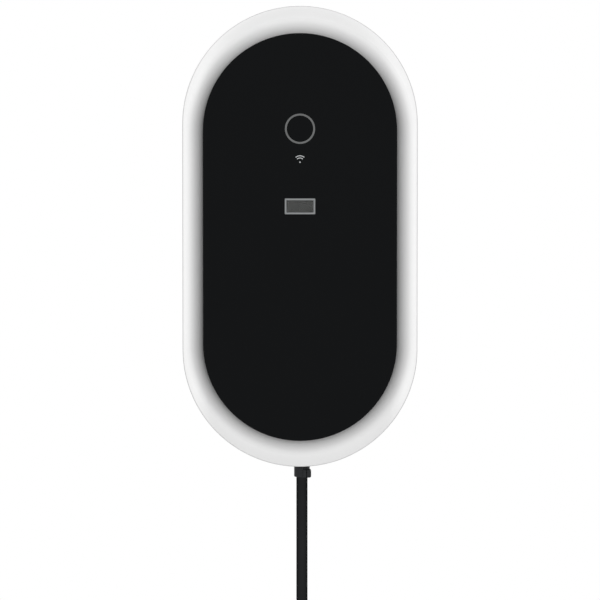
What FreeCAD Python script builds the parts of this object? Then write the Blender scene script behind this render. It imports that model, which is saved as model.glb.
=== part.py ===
import FreeCAD, Part
import math
import os
import re
import Sketcher

# Wall-mounted charging box for electric vehicles, with its attached charging cable.
# Millimetres. The origin is the centre of the four wall screws, on the wall.
# X is to the right, Z is up, and the front faces -Y. "Depth" is the distance from the wall.

SIZES = {
    # housing and cover
    "housing_width": 228,
    "housing_height": 447,
    "wall": 3,
    "back_wall": 3.5,
    "brim_depth": 56,
    "parting_depth": 40,
    "parting_gap": 0.8,
    "base_inset": 2,
    "base_chamfer": 1,
    "tongue_fit": 0.3,
    "tongue_depth": 50.5,
    "edge_round": 1.2,
    "seal_width": 2.4,
    "seal_fit": 0.1,
    # front panel and the cove that carries it
    "panel_margin": 21.6,
    "panel_end_margin": 29.35,
    "panel_thickness": 3,
    "panel_round": 0.8,
    "land_depth": 100.5,
    "land_width": 11,
    "cove_width": 18.1,
    "tape_thickness": 0.5,
    "tape_width": 7,
    "tape_inset": 1.5,
    # wall screws, supply entry and cover screws
    "screw_margin_x": 39,
    "screw_margin_z": 73.5,
    "wall_hole_radius": 3.25,
    "wall_boss_radius": 9,
    "wall_boss_depth": 9,
    "entry_x": -40,
    "entry_down": 58.5,
    "entry_hole_radius": 14,
    "entry_boss_radius": 20,
    "entry_boss_depth": 6,
    "entry_recess_radius": 18,
    "entry_recess": 2,
    "entry_bore_radius": 7,
    "entry_nose_depth": 16,
    "grommet_fit": 0.1,
    "cover_screw_inset": 19.5,
    "cover_screw_depth": 46.5,
    "cover_boss_length": 12,
    "cover_boss_half": 4,
    "cover_head_radius": 3.7,
    "cover_head_recess": 1.2,
    "cover_shank_radius": 1.9,
    "screw_fit": 0.15,
    # round button with its light ring
    "ring_z": 103.4,
    "ring_outer_radius": 14.35,
    "ring_line": 1.8,
    "ring_flange": 2.6,
    "ring_flange_thickness": 1.4,
    "ring_length": 9.5,
    "ring_fit": 0.1,
    "button_gap": 0.2,
    "button_travel": 0.8,
    "button_rest_gap": 0.2,
    "button_recess": 0.1,
    "button_round": 0.5,
    "button_wall": 1.8,
    "button_lip": 1.2,
    "button_lip_thickness": 1.2,
    "stem_radius": 2.4,
    "switch_half": 3.5,
    "switch_gap": 0.3,
    "spring_radius": 6.2,
    "spring_wire": 0.8,
    "spring_turns": 4,
    "spring_seat_gap": 0.2,
    # display
    "display_z": 29.6,
    "display_width": 29,
    "display_height": 14.9,
    "display_line": 1.6,
    "display_corner": 0.7,
    "bezel_fit": 0.1,
    "bezel_proud": 0.2,
    "bezel_lip": 2,
    "bezel_lip_thickness": 1,
    "window_recess": 0.4,
    "window_thickness": 1,
    "module_thickness": 3.2,
    "module_margin": 4,
    # boards and what they carry
    "board_thickness": 1.6,
    "carrier_thickness": 2.5,
    "carrier_inset": 4.5,
    "carrier_fit": 0.2,
    "carrier_screw_inset": 8,
    "carrier_screw_z": 70,
    "carrier_boss_radius": 4,
    "carrier_boss_length": 4.5,
    "interface_gap": 4.7,
    "interface_width": 96,
    "interface_low": 8,
    "interface_high": 136,
    "interface_margin": 6,
    "chip_half": 7,
    "antenna_width": 44,
    "antenna_height": 30,
    "antenna_z": 66,
    "antenna_line": 4,
    "antenna_thickness": 0.6,
    "led_count": 8,
    "led_size": 3,
    "led_height": 1.4,
    "power_depth": 16,
    "power_width": 140,
    "power_low": -120,
    "power_high": 130,
    "post_radius": 4.5,
    "post_margin": 8,
    "small_screw_head": 2.8,
    "small_screw_head_height": 2,
    "small_screw_shank": 1.3,
    "small_screw_length": 7,
    "pilot_fit": 0.1,
    "seat_gap": 0.1,
    "supply_block_width": 62,
    "supply_block_height": 24,
    "supply_block_tall": 28,
    "supply_block_z": 106,
    "output_block_width": 62,
    "output_block_height": 22,
    "output_block_tall": 26,
    "output_block_z": -98,
    "pole_count": 5,
    "pole_pitch": 11,
    "pole_entry_radius": 2.6,
    "pole_entry_depth": 8,
    "pole_screw_radius": 2.5,
    "relay_width": 28,
    "relay_height": 40,
    "relay_tall": 30,
    "relay_x": 44,
    "relay_z": -8,
    "relay_gap": 6,
    "capacitor_radius": 6,
    "capacitor_tall": 20,
    "capacitor_pitch": 22,
    "capacitor_shift": -1,
    "meter_width": 46,
    "meter_height": 60,
    "meter_tall": 24,
    "meter_x": -43,
    "meter_z": -42,
    "supply_width": 40,
    "supply_height": 34,
    "supply_tall": 26,
    "supply_x": -42,
    "supply_z": 58,
    "sensor_width": 38,
    "sensor_height": 16,
    "sensor_bore_radius": 8,
    "sensor_z": -66,
    "ribbon_width": 20,
    "ribbon_thickness": 0.6,
    "ribbon_x": 20,
    "ribbon_z": 62,
    "ribbon_sag": 10,
    "plug_in_height": 8,
    # cable entry
    "gland_x": 1.9,
    "gland_depth": 26,
    "gland_shank_radius": 8,
    "gland_shank_fit": 0.15,
    "gland_flange_radius": 10.5,
    "gland_flange_thickness": 1.8,
    "gland_collar_radius": 7.7,
    "gland_sleeve_radius": 6.4,
    "gland_neck_length": 2,
    "gland_sleeve_length": 10.6,
    "gland_reach": 10.5,
    "gland_pad_half": 15,
    "gland_pad_height": 8,
    "gland_seal_length": 7,
    "gland_seal_radius": 6.9,
    "nut_across": 22,
    "nut_height": 6,
    "collar_gap": 0.4,
    "collar_fit": 0.1,
    "collar_round": 1,
    "lug_left": 1.2,
    "lug_right": 9,
    "lug_reach": 13.2,
    "lug_round": 1.6,
    "lug_inset_top": 2.4,
    "lug_inset_low": 0.3,
    "lug_slit": 0.9,
    "lug_slit_x": 4.6,
    "clamp_screw_radius": 1.2,
    "clamp_head_radius": 2.1,
    "clamp_head_length": 1.6,
    # charging cable, coil and plug
    "cable_diameter": 10.8,
    "cable_fit": 0.1,
    "cable_inset": 5,
    "coil_x": 0,
    "coil_drop": 273.5,
    "coil_radius": 68,
    "bundle_radius": 21,
    "strap_width": 16,
    "strap_thickness": 1.5,
    "strap_gap": 0.8,
    "wire_radius": 1.6,
    "wire_ring": 3.17,
    "wire_start": 198,
    "wire_step": 36,
    "wire_run": 22,
    "wire_rise": 4,
    "wire_in": 6,
    "wire_bow": 1,
    "jacket_fit": 0.3,
    "plug_x": 62,
    "plug_depth": 77,
    "plug_drop": 27,
    "boot_length": 42,
    "boot_bore": 8,
    "boot_ribs": 5,
    "rib_share": 0.6,
    "rib_height": 1.2,
    "boot_radius": 8.2,
    "neck_radius": 14.5,
    "grip_length": 70,
    "grip_radius": 17,
    "shoulder_length": 26,
    "shroud_radius": 28.5,
    "shroud_length": 48,
    "shroud_flat": 23.5,
    "shroud_wall": 2.5,
    "shroud_recess": 30,
    "insert_radius": 21.5,
    "insert_flat": 17.5,
    "insert_length": 26,
    "contact_radius": 3.4,
    "pilot_contact_radius": 2.2,
    "contact_wall": 0.8,
    "contact_length": 22,
    "contact_recess": 2,
    "contact_fit": 0.2,
    "contact_pitch": 13,
}

# Sizes and places that follow from the ones above, also cells of the sheet. Those of the gland and
# the cable are distances below the housing's middle.
WORKED_OUT = {
    "panel_width": "housing_width - 2 * panel_margin",
    "panel_height": "housing_height - 2 * panel_end_margin",
    "screw_span_x": "housing_width - 2 * screw_margin_x",
    "screw_span_z": "housing_height - 2 * screw_margin_z",
    "entry_z": "housing_height / 2 - entry_down",
    "cover_screw_z": "(housing_height - housing_width) / 2 - cover_screw_inset",
    "carrier_screw_x": "panel_width / 2 - carrier_screw_inset",
    "carrier_depth": "land_depth - wall - carrier_boss_length - carrier_fit - carrier_thickness",
    "interface_depth": "carrier_depth - interface_gap - board_thickness",
    "gland_seat": "housing_height / 2 - base_inset",
    "gland_pad_z": "gland_seat - gland_pad_height",
    "gland_top": "gland_pad_z - gland_reach",
    "gland_flange_end": "gland_seat + seat_gap + gland_flange_thickness",
    "gland_neck_end": "gland_flange_end + gland_neck_length",
    "gland_end": "gland_neck_end + gland_sleeve_length",
    "collar_top": "gland_neck_end + collar_gap",
    "lug_top": "collar_top + lug_inset_top",
    "lug_bottom": "gland_end - lug_inset_low",
    "cable_top": "gland_top + cable_inset",
    "coil_z": "-1 * (housing_height / 2 + coil_drop)",
    "plug_top": "coil_z - plug_drop",
}

doc = FreeCAD.newDocument("wallbox")
sheet = doc.addObject("Spreadsheet::Sheet", "sizes")
cells = list(SIZES.items()) + [(alias, "=" + text) for alias, text in WORKED_OUT.items()]
for row, (alias, value) in enumerate(cells, start=1):
    sheet.set(f"A{row}", alias)
    sheet.setAlias(f"B{row}", alias)
    sheet.set(f"B{row}", str(value))
doc.recompute()

PARTS = []

# Places and radii that several pieces share, worked out from the sheet
outer_radius = "(housing_width / 2)"
arc_offset = "((housing_height - housing_width) / 2)"
tongue_radius = "(housing_width / 2 - wall - tongue_fit)"
inner_radius = "(housing_width / 2 - 2 * wall - tongue_fit)"
panel_radius = "(panel_width / 2)"
panel_offset = "((panel_height - panel_width) / 2)"
panel_back = "(land_depth + tape_thickness)"
panel_front = "(land_depth + tape_thickness + panel_thickness)"
foot_radius = "(panel_width / 2 + cove_width)"
cove_drop = "(land_depth - brim_depth)"
ring_inner = "(ring_outer_radius - ring_line)"
button_radius = "(ring_outer_radius - ring_line - button_gap)"
power_face = "(power_depth + board_thickness + seat_gap)"
interface_face = "(interface_depth + board_thickness)"
sensor_depth = f"({power_face} + sensor_width / 2)"


def bound(text):
    """Turn the names of sizes in a formula into the sheet's cells."""
    return re.sub(r"[a-z_][a-z_0-9]*",
                  lambda m: "sizes." + m[0] if m[0] in SIZES or m[0] in WORKED_OUT else m[0], str(text))


def number(text):
    return float(sheet.evalExpression(bound(text)))


def add_part(kind, name):
    part = doc.addObject(kind, name)
    part.Label = name
    PARTS.append(part)
    return part


def new_body(name):
    body = add_part("PartDesign::Body", name)
    body.AllowCompound = True
    return body


def new_sketch(body, name, role, lift=0, shift_x=0, shift_y=0):
    """Attach a sketch to one of the body's own planes, lifted and shifted by formulas."""
    plane = [item for item in body.Origin.OriginFeatures if item.Role == role][0]
    sketch = body.newObject("Sketcher::SketchObject", f"{body.Name}_{name}")
    sketch.AttachmentSupport = [(plane, "")]
    sketch.MapMode = "FlatFace"
    for axis, text in (("x", shift_x), ("y", shift_y), ("z", lift)):
        if text != 0:
            sketch.setExpression(f"AttachmentOffset.Base.{axis}", bound(text))
    return sketch


def pin_to(sketch, kind, geometry, end, text):
    """Fix one coordinate of a point: on the axis where it is nought, else at a bound distance."""
    size = number(text)
    if abs(size) < 1e-9:
        axis = -2 if kind == "DistanceX" else -1
        sketch.addConstraint(Sketcher.Constraint("PointOnObject", geometry, end, axis))
        return
    index = sketch.addConstraint(Sketcher.Constraint(kind, -1, 1, geometry, end, size))
    sketch.setExpression(f"Constraints[{index}]", bound(text))


def arc_between(centre, start, stop):
    """Arc of a circle that turns left about its centre."""
    angles = [math.atan2(p.y - centre.y, p.x - centre.x) for p in (start, stop)]
    if angles[1] <= angles[0]:
        angles[1] += 2 * math.pi
    circle = Part.Circle(centre, FreeCAD.Vector(0, 0, 1), centre.distanceToPoint(start))
    return Part.ArcOfCircle(circle, *angles)


def upright_arc_between(centre, start, stop, half_width, half_height):
    """Arc of an ellipse that is higher than wide and turns left about its centre."""
    angles = [math.atan2((centre.x - p.x) / half_width, (p.y - centre.y) / half_height)
              for p in (start, stop)]
    if angles[1] <= angles[0]:
        angles[1] += 2 * math.pi
    ellipse = Part.Ellipse(centre + FreeCAD.Vector(0, half_height, 0),
                           centre - FreeCAD.Vector(half_width, 0, 0), centre)
    return Part.ArcOfEllipse(ellipse, *angles)


def add_outline(sketch, points):
    """Closed outline. A point is (x, y), and where an arc leaves it (x, y, centre x, centre y,
    "left" or "right" about the centre), with half width and half height too on an ellipse."""
    edges = []
    after = points[1:] + points[:1]
    for here, there in zip(points, after):
        start = FreeCAD.Vector(number(here[0]), number(here[1]), 0)
        stop = FreeCAD.Vector(number(there[0]), number(there[1]), 0)
        if len(here) == 2:
            edges.append((sketch.addGeometry(Part.LineSegment(start, stop), False), 1, 2))
            continue
        centre = FreeCAD.Vector(number(here[2]), number(here[3]), 0)
        ends = (start, stop) if here[4] == "left" else (stop, start)
        if len(here) == 5:
            arc = arc_between(centre, *ends)
        else:
            arc = upright_arc_between(centre, *ends, number(here[5]), number(here[6]))
        index = sketch.addGeometry(arc, False)
        edges.append((index, 1, 2) if here[4] == "left" else (index, 2, 1))
    for (index, start, stop), (following, its_start, its_stop) in zip(edges, edges[1:] + edges[:1]):
        sketch.addConstraint(Sketcher.Constraint("Coincident", index, stop, following, its_start))
    for (index, start, stop), here in zip(edges, points):
        pin_to(sketch, "DistanceX", index, start, here[0])
        pin_to(sketch, "DistanceY", index, start, here[1])
    for (index, start, stop), here, there in zip(edges, points, after):
        if len(here) > 2:
            pin_centre(sketch, index, here, there)


def pin_centre(sketch, index, here, there):
    """Fix what an arc's two ends leave free: one coordinate of a circle's centre, or both of an
    ellipse's and the way its long axis points."""
    wide = abs(number(there[0]) - number(here[0]))
    high = abs(number(there[1]) - number(here[1]))
    oval = len(here) > 5
    if oval or wide <= high:
        pin_to(sketch, "DistanceX", index, 3, here[2])
    if oval or wide > high:
        pin_to(sketch, "DistanceY", index, 3, here[3])
    if oval:
        long_axis = sketch.GeometryCount
        sketch.exposeInternalGeometry(index)
        sketch.addConstraint(Sketcher.Constraint("Vertical", long_axis))


def add_circles(sketch, places, radius):
    for x, y in places:
        centre = FreeCAD.Vector(number(x), number(y), 0)
        circle = Part.Circle(centre, FreeCAD.Vector(0, 0, 1), number(radius))
        index = sketch.addGeometry(circle, False)
        pin_to(sketch, "DistanceX", index, 3, x)
        pin_to(sketch, "DistanceY", index, 3, y)
        size = sketch.addConstraint(Sketcher.Constraint("Radius", index, number(radius)))
        sketch.setExpression(f"Constraints[{size}]", bound(radius))


def add_rectangle(sketch, left, low, right, high):
    add_outline(sketch, [(left, low), (right, low), (right, high), (left, high)])


def add_stadium(sketch, radius, offset):
    """Upright outline with half-round ends of one radius, their centres at plus and minus offset."""
    down = f"-1 * {offset}"
    left = f"-1 * {radius}"
    add_outline(sketch, [(radius, down), (radius, offset, 0, offset, "left"),
                         (left, offset), (left, down, 0, down, "left")])


def pad(body, sketch, length, name="pad", reverse=False, middle=False):
    feature = body.newObject("PartDesign::Pad", f"{body.Name}_{name}")
    feature.Profile = sketch
    feature.setExpression("Length", bound(length))
    feature.Reversed = reverse
    feature.Midplane = middle
    body.Tip = feature
    return feature


def pocket(body, sketch, length, name="pocket", onward=True):
    """Cut along the sketch's normal (onward), or against it."""
    feature = body.newObject("PartDesign::Pocket", f"{body.Name}_{name}")
    feature.Profile = sketch
    feature.setExpression("Length", bound(length))
    feature.Reversed = onward
    body.Tip = feature
    return feature


def turn(body, sketch, name="turn", angle=360, reverse=False):
    """Turn a section about the sketch's upright axis."""
    feature = body.newObject("PartDesign::Revolution", f"{body.Name}_{name}")
    feature.Profile = sketch
    feature.ReferenceAxis = (sketch, ["V_Axis"])
    feature.Angle = angle
    feature.Reversed = reverse
    body.Tip = feature
    return feature


def mirror(body, features, role, name):
    plane = [item for item in body.Origin.OriginFeatures if item.Role == role][0]
    feature = body.newObject("PartDesign::Mirrored", f"{body.Name}_{name}")
    feature.Originals = features
    feature.MirrorPlane = (plane, [""])
    body.Tip = feature
    return feature


def dress(body, kind, radius, chosen, name):
    """Fillet or chamfer the edges that the test picks."""
    doc.recompute()
    base = body.Tip
    names = [f"Edge{i + 1}" for i, edge in enumerate(base.Shape.Edges) if chosen(edge)]
    feature = body.newObject(f"PartDesign::{kind}", f"{body.Name}_{name}")
    feature.Base = (base, names)
    feature.setExpression("Radius" if kind == "Fillet" else "Size", bound(radius))
    body.Tip = feature
    return feature


def edge_at(axis, place):
    """A test for edges that lie in the plane where this coordinate has this value."""
    def chosen(edge):
        box = edge.BoundBox
        low, high = getattr(box, axis + "Min"), getattr(box, axis + "Max")
        return abs(low - place) < 1e-4 and abs(high - place) < 1e-4
    return chosen


def screws(name, role, places, seat, head, shank, into="back", head_height=None, length=None):
    """A group of pan-head screws whose heads sit on a plane and whose shanks go on from it."""
    body = new_body(name)
    heads = new_sketch(body, "heads", role, seat)
    add_circles(heads, places, head)
    shanks = new_sketch(body, "shanks", role, seat)
    add_circles(shanks, places, shank)
    pad(body, heads, head_height, "head", reverse=into == "front")
    pad(body, shanks, length, "shank", reverse=into == "back")
    return body


def rear_housing():
    body = new_body("rear_housing")
    base = new_sketch(body, "base", "XZ_Plane")
    add_stadium(base, f"({outer_radius} - base_inset)", arc_offset)
    pad(body, base, "parting_depth - parting_gap", "base_pad")
    dress(body, "Chamfer", "base_chamfer", edge_at("Y", -number("parting_depth - parting_gap")), "rim")
    tongue = new_sketch(body, "tongue", "XZ_Plane")
    add_stadium(tongue, tongue_radius, arc_offset)
    pad(body, tongue, "tongue_depth", "tongue_pad")
    hollow = new_sketch(body, "hollow", "XZ_Plane", "back_wall")
    add_stadium(hollow, inner_radius, arc_offset)
    pocket(body, hollow, "tongue_depth", "hollow_cut")
    bosses = new_sketch(body, "bosses", "XZ_Plane", "back_wall / 2")
    add_circles(bosses, wall_screw_places(), "wall_boss_radius")
    pad(body, bosses, "wall_boss_depth - back_wall / 2", "boss_pad")
    entry = new_sketch(body, "entry", "XZ_Plane", "back_wall / 2")
    add_circles(entry, [("entry_x", "entry_z")], "entry_boss_radius")
    pad(body, entry, "entry_boss_depth - back_wall / 2", "entry_pad")
    posts = new_sketch(body, "posts", "XZ_Plane", "back_wall / 2")
    add_circles(posts, power_screw_places(), "post_radius")
    pad(body, posts, "power_depth - seat_gap - back_wall / 2", "post_pad")
    seat = new_sketch(body, "gland_seat", "XZ_Plane", "back_wall / 2")
    add_rectangle(seat, "gland_x - gland_pad_half", f"wall / 2 - {arc_offset} - {tongue_radius}",
                  "gland_x + gland_pad_half", "-1 * gland_pad_z")
    pad(body, seat, "parting_depth - back_wall / 2", "gland_pad")
    lugs = new_sketch(body, "lugs", "XZ_Plane", "cover_screw_depth - cover_boss_half")
    for sign in (1, -1):
        add_rectangle(lugs, f"{inner_radius} - cover_boss_length",
                      f"{sign} * cover_screw_z - cover_boss_half",
                      f"{inner_radius} + wall / 2", f"{sign} * cover_screw_z + cover_boss_half")
    lug_pad = pad(body, lugs, "2 * cover_boss_half", "lug_pad")
    mirror(body, [lug_pad], "YZ_Plane", "lug_mirror")
    holes = new_sketch(body, "wall_holes", "XZ_Plane")
    add_circles(holes, wall_screw_places(), "wall_hole_radius")
    pocket(body, holes, "wall_boss_depth + 1", "wall_hole_cut")
    way_in = new_sketch(body, "entry_hole", "XZ_Plane")
    add_circles(way_in, [("entry_x", "entry_z")], "entry_hole_radius")
    pocket(body, way_in, "entry_boss_depth + 1", "entry_cut")
    recess = new_sketch(body, "entry_recess", "XZ_Plane")
    add_circles(recess, [("entry_x", "entry_z")], "entry_recess_radius")
    pocket(body, recess, "entry_recess", "recess_cut")
    pilots = new_sketch(body, "pilots", "XZ_Plane", "back_wall + wall")
    add_circles(pilots, power_screw_places(), "small_screw_shank + pilot_fit")
    pocket(body, pilots, "power_depth", "pilot_cut")
    bore = new_sketch(body, "gland_bore", "XY_Plane", "-1 * gland_seat - wall")
    add_circles(bore, [("gland_x", "-1 * gland_depth")], "gland_shank_radius + gland_shank_fit")
    pocket(body, bore, "5 * wall + base_inset", "gland_cut")
    side = new_sketch(body, "side_pilots", "YZ_Plane", f"-1 * {outer_radius}")
    add_circles(side, cover_screw_places(), "cover_shank_radius + screw_fit")
    pocket(body, side, "housing_width", "side_cut")


def wall_screw_places():
    return [(f"{i} * screw_span_x / 2", f"{k} * screw_span_z / 2") for i in (1, -1) for k in (1, -1)]


def cover_screw_places():
    return [("-1 * cover_screw_depth", f"{k} * cover_screw_z") for k in (1, -1)]


def power_screw_places():
    rows = ("power_low + post_margin", "(power_low + power_high) / 2", "power_high - post_margin")
    return [(f"{i} * (power_width / 2 - post_margin)", z) for i in (1, -1) for z in rows]


def carrier_screw_places():
    ends = [("0", f"{k} * ({panel_offset} + carrier_screw_x)") for k in (1, -1)]
    return ends + [(f"{i} * carrier_screw_x", f"{k} * carrier_screw_z") for i in (1, -1) for k in (1, -1)]


def interface_screw_places():
    return [(f"{i} * (interface_width / 2 - interface_margin)", z) for i in (1, -1)
            for z in ("interface_low + interface_margin", "interface_high - interface_margin")]


def cove_section(sketch):
    """The shell's section from the land under the panel, down the cove, to the brim.
    The hollow face is a quarter of an ellipse, and the inner face one a wall larger about the
    same centre."""
    top = "(-1 * land_depth)"
    land = f"({panel_radius} - land_width)"
    back_x, back_y = "(cove_width + wall)", f"({cove_drop} + wall)"
    under = f"({foot_radius} - {back_x} * sqrt(1 - (wall / {back_y}) ^ 2))"
    add_outline(sketch, [
        (land, top),
        (panel_radius, top, foot_radius, top, "right", "cove_width", cove_drop),
        (foot_radius, "-1 * brim_depth"),
        (foot_radius, "wall - brim_depth", foot_radius, top, "left", back_x, back_y),
        (under, f"{top} + wall"),
        (land, f"{top} + wall"),
    ])


def front_cover():
    body = new_body("front_cover")
    skirt = new_sketch(body, "skirt", "XZ_Plane", "parting_depth")
    add_stadium(skirt, outer_radius, arc_offset)
    pad(body, skirt, "brim_depth - parting_depth", "skirt_pad")
    dress(body, "Fillet", "edge_round", edge_at("Y", -number("brim_depth")), "edge")
    hollow = new_sketch(body, "hollow", "XZ_Plane", "parting_depth")
    add_stadium(hollow, f"({outer_radius} - wall)", arc_offset)
    pocket(body, hollow, "brim_depth - parting_depth - wall", "hollow_cut")
    mouth = new_sketch(body, "mouth", "XZ_Plane", "parting_depth")
    add_stadium(mouth, foot_radius, panel_offset)
    pocket(body, mouth, "brim_depth", "mouth_cut")
    flank = new_sketch(body, "flank", "XY_Plane")
    cove_section(flank)
    side = pad(body, flank, f"2 * {panel_offset}", "flank_pad", middle=True)
    mirror(body, [side], "YZ_Plane", "flank_mirror")
    end = new_sketch(body, "end", "XY_Plane", panel_offset)
    cove_section(end)
    round_end = turn(body, end, "end_turn", 180, reverse=True)
    mirror(body, [round_end], "XY_Plane", "end_mirror")
    bosses = new_sketch(body, "bosses", "XZ_Plane", "land_depth - wall / 2")
    add_circles(bosses, carrier_screw_places(), "carrier_boss_radius")
    pad(body, bosses, "carrier_boss_length + wall / 2", "boss_pad", reverse=True)
    pilots = new_sketch(body, "pilots", "XZ_Plane", "land_depth - wall")
    add_circles(pilots, carrier_screw_places(), "small_screw_shank + pilot_fit")
    pocket(body, pilots, "carrier_boss_length + wall", "pilot_cut", onward=False)
    holes = new_sketch(body, "screw_holes", "YZ_Plane", f"-1 * {outer_radius}")
    add_circles(holes, cover_screw_places(), "cover_shank_radius + screw_fit")
    pocket(body, holes, "housing_width", "screw_cut")
    sink = new_sketch(body, "screw_sink", "YZ_Plane", outer_radius)
    add_circles(sink, cover_screw_places(), "cover_head_radius + screw_fit")
    cut = pocket(body, sink, "cover_head_recess", "sink_cut", onward=False)
    mirror(body, [cut], "YZ_Plane", "sink_mirror")


def housing_seal():
    body = new_body("housing_seal")
    ring = new_sketch(body, "ring", "XZ_Plane", "tongue_depth")
    add_stadium(ring, tongue_radius, arc_offset)
    add_stadium(ring, f"({tongue_radius} - seal_width)", arc_offset)
    pad(body, ring, "brim_depth - wall - tongue_depth - seal_fit")


def cover_screws():
    body = new_body("cover_screws")
    heads = new_sketch(body, "heads", "YZ_Plane", f"{outer_radius} - cover_head_recess")
    add_circles(heads, cover_screw_places(), "cover_head_radius")
    head = pad(body, heads, "cover_head_recess")
    shanks = new_sketch(body, "shanks", "YZ_Plane", f"{outer_radius} - cover_head_recess")
    add_circles(shanks, cover_screw_places(), "cover_shank_radius")
    shank = pad(body, shanks, "cover_boss_length + wall", "shank", reverse=True)
    mirror(body, [head, shank], "YZ_Plane", "pair")


def front_panel():
    body = new_body("front_panel")
    plate = new_sketch(body, "plate", "XZ_Plane", panel_back)
    add_stadium(plate, panel_radius, panel_offset)
    pad(body, plate, "panel_thickness")
    dress(body, "Fillet", "panel_round", edge_at("Y", -number(panel_front)), "edge")
    hole = new_sketch(body, "ring_hole", "XZ_Plane", panel_back)
    add_circles(hole, [("0", "ring_z")], "ring_outer_radius + ring_fit")
    pocket(body, hole, "panel_thickness + 1", "ring_cut")
    window = new_sketch(body, "window", "XZ_Plane", panel_back)
    add_window(window, "bezel_fit")
    pocket(body, window, "panel_thickness + 1", "window_cut")


def add_window(sketch, grow):
    """The display's outline with small round corners, grown or shrunk on every side."""
    half = f"(display_width / 2 + {grow})"
    low = f"(display_z - display_height / 2 - ({grow}))"
    high = f"(display_z + display_height / 2 + {grow})"
    corner = "display_corner"
    inner_low, inner_high = f"({low} + {corner})", f"({high} - {corner})"
    inner = f"({half} - {corner})"
    add_outline(sketch, [
        (inner, low, inner, inner_low, "left"), (half, inner_low),
        (half, inner_high, inner, inner_high, "left"), (inner, high),
        (f"-1 * {inner}", high, f"-1 * {inner}", inner_high, "left"), (f"-1 * {half}", inner_high),
        (f"-1 * {half}", inner_low, f"-1 * {inner}", inner_low, "left"), (f"-1 * {inner}", low),
    ])


def panel_tape():
    body = new_body("panel_tape")
    ring = new_sketch(body, "ring", "XZ_Plane", "land_depth")
    add_stadium(ring, f"({panel_radius} - tape_inset)", panel_offset)
    add_stadium(ring, f"({panel_radius} - tape_inset - tape_width)", panel_offset)
    pad(body, ring, "tape_thickness")


def status_ring():
    """Light guide round the button: a ring flush with the panel and a flange behind it."""
    body = new_body("status_ring")
    section = new_sketch(body, "section", "XY_Plane", "ring_z")
    front = f"-1 * {panel_front}"
    seat = f"seat_gap - {panel_back}"
    add_outline(section, [
        (ring_inner, front), ("ring_outer_radius", front), ("ring_outer_radius", seat),
        ("ring_outer_radius + ring_flange", seat),
        ("ring_outer_radius + ring_flange", f"{seat} + ring_flange_thickness"),
        ("ring_outer_radius", f"{seat} + ring_flange_thickness"),
        ("ring_outer_radius", f"{front} + ring_length"), (ring_inner, f"{front} + ring_length"),
    ])
    turn(body, section)


def start_button():
    """Round cap that slides in the light ring, with a stem and a lip that keeps it in."""
    body = new_body("start_button")
    section = new_sketch(body, "section", "XY_Plane", "ring_z")
    face = f"(button_recess - {panel_front})"
    lip = f"(ring_length + button_rest_gap - {panel_front})"
    add_outline(section, [
        ("0", face),
        (f"{button_radius} - button_round", face,
         f"{button_radius} - button_round", f"{face} + button_round", "left"),
        (button_radius, f"{face} + button_round"),
        (button_radius, lip), (f"{button_radius} + button_lip", lip),
        (f"{button_radius} + button_lip", f"{lip} + button_lip_thickness"),
        (f"{button_radius} - button_wall", f"{lip} + button_lip_thickness"),
        (f"{button_radius} - button_wall", f"{face} + button_wall"),
        ("stem_radius", f"{face} + button_wall"),
        ("stem_radius", f"-1 * (switch_gap + button_travel + {interface_face} + led_height)"),
        ("0", f"-1 * (switch_gap + button_travel + {interface_face} + led_height)"),
    ])
    turn(body, section)


def button_switch():
    body = new_body("button_switch")
    base = new_sketch(body, "base", "XZ_Plane", interface_face)
    add_rectangle(base, "-1 * switch_half", "ring_z - switch_half", "switch_half", "ring_z + switch_half")
    pad(body, base, "led_height - seat_gap")
    dome = new_sketch(body, "dome", "XZ_Plane", interface_face)
    add_circles(dome, [("0", "ring_z")], "stem_radius")
    pad(body, dome, "led_height", "dome")


def button_spring():
    """Coil spring round the stem, between the board and the cap."""
    body = new_body("button_spring")
    low = f"({interface_face} + spring_wire / 2 + spring_seat_gap)"
    high = f"({panel_front} - button_recess - button_wall - spring_wire / 2 - spring_seat_gap)"
    wire = new_sketch(body, "wire", "XY_Plane", "ring_z")
    add_circles(wire, [("spring_radius", f"-1 * {high}")], "spring_wire / 2")
    coil = body.newObject("PartDesign::AdditiveHelix", "button_spring_coil")
    coil.Profile = wire
    coil.ReferenceAxis = (wire, ["V_Axis"])
    coil.Mode = "height-turns-angle"
    coil.setExpression("Height", bound(f"{high} - {low}"))
    coil.setExpression("Turns", bound("spring_turns"))
    body.Tip = coil


def display_bezel():
    body = new_body("display_bezel")
    frame = new_sketch(body, "frame", "XZ_Plane", f"{panel_back} - seat_gap")
    add_window(frame, "0")
    pad(body, frame, "panel_thickness + bezel_proud + seat_gap")
    dress(body, "Fillet", "bezel_proud", edge_at("Y", -number(f"{panel_front} + bezel_proud")), "edge")
    lip = new_sketch(body, "lip", "XZ_Plane", f"{panel_back} - seat_gap")
    add_window(lip, "bezel_lip")
    pad(body, lip, "bezel_lip_thickness", "lip_pad", reverse=True)
    opening = new_sketch(body, "opening", "XZ_Plane", f"{panel_back} - bezel_lip_thickness - 1")
    add_rectangle(opening, "display_line - display_width / 2", "display_z - display_height / 2 + display_line",
                  "display_width / 2 - display_line", "display_z + display_height / 2 - display_line")
    pocket(body, opening, "3 * panel_thickness", "opening_cut")


def display_window():
    body = new_body("display_window")
    pane = new_sketch(body, "pane", "XZ_Plane", f"{panel_front} - window_recess")
    inset = "(display_line + bezel_fit)"
    add_rectangle(pane, f"{inset} - display_width / 2", f"display_z - display_height / 2 + {inset}",
                  f"display_width / 2 - {inset}", f"display_z + display_height / 2 - {inset}")
    pad(body, pane, "window_thickness", reverse=True)


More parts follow.
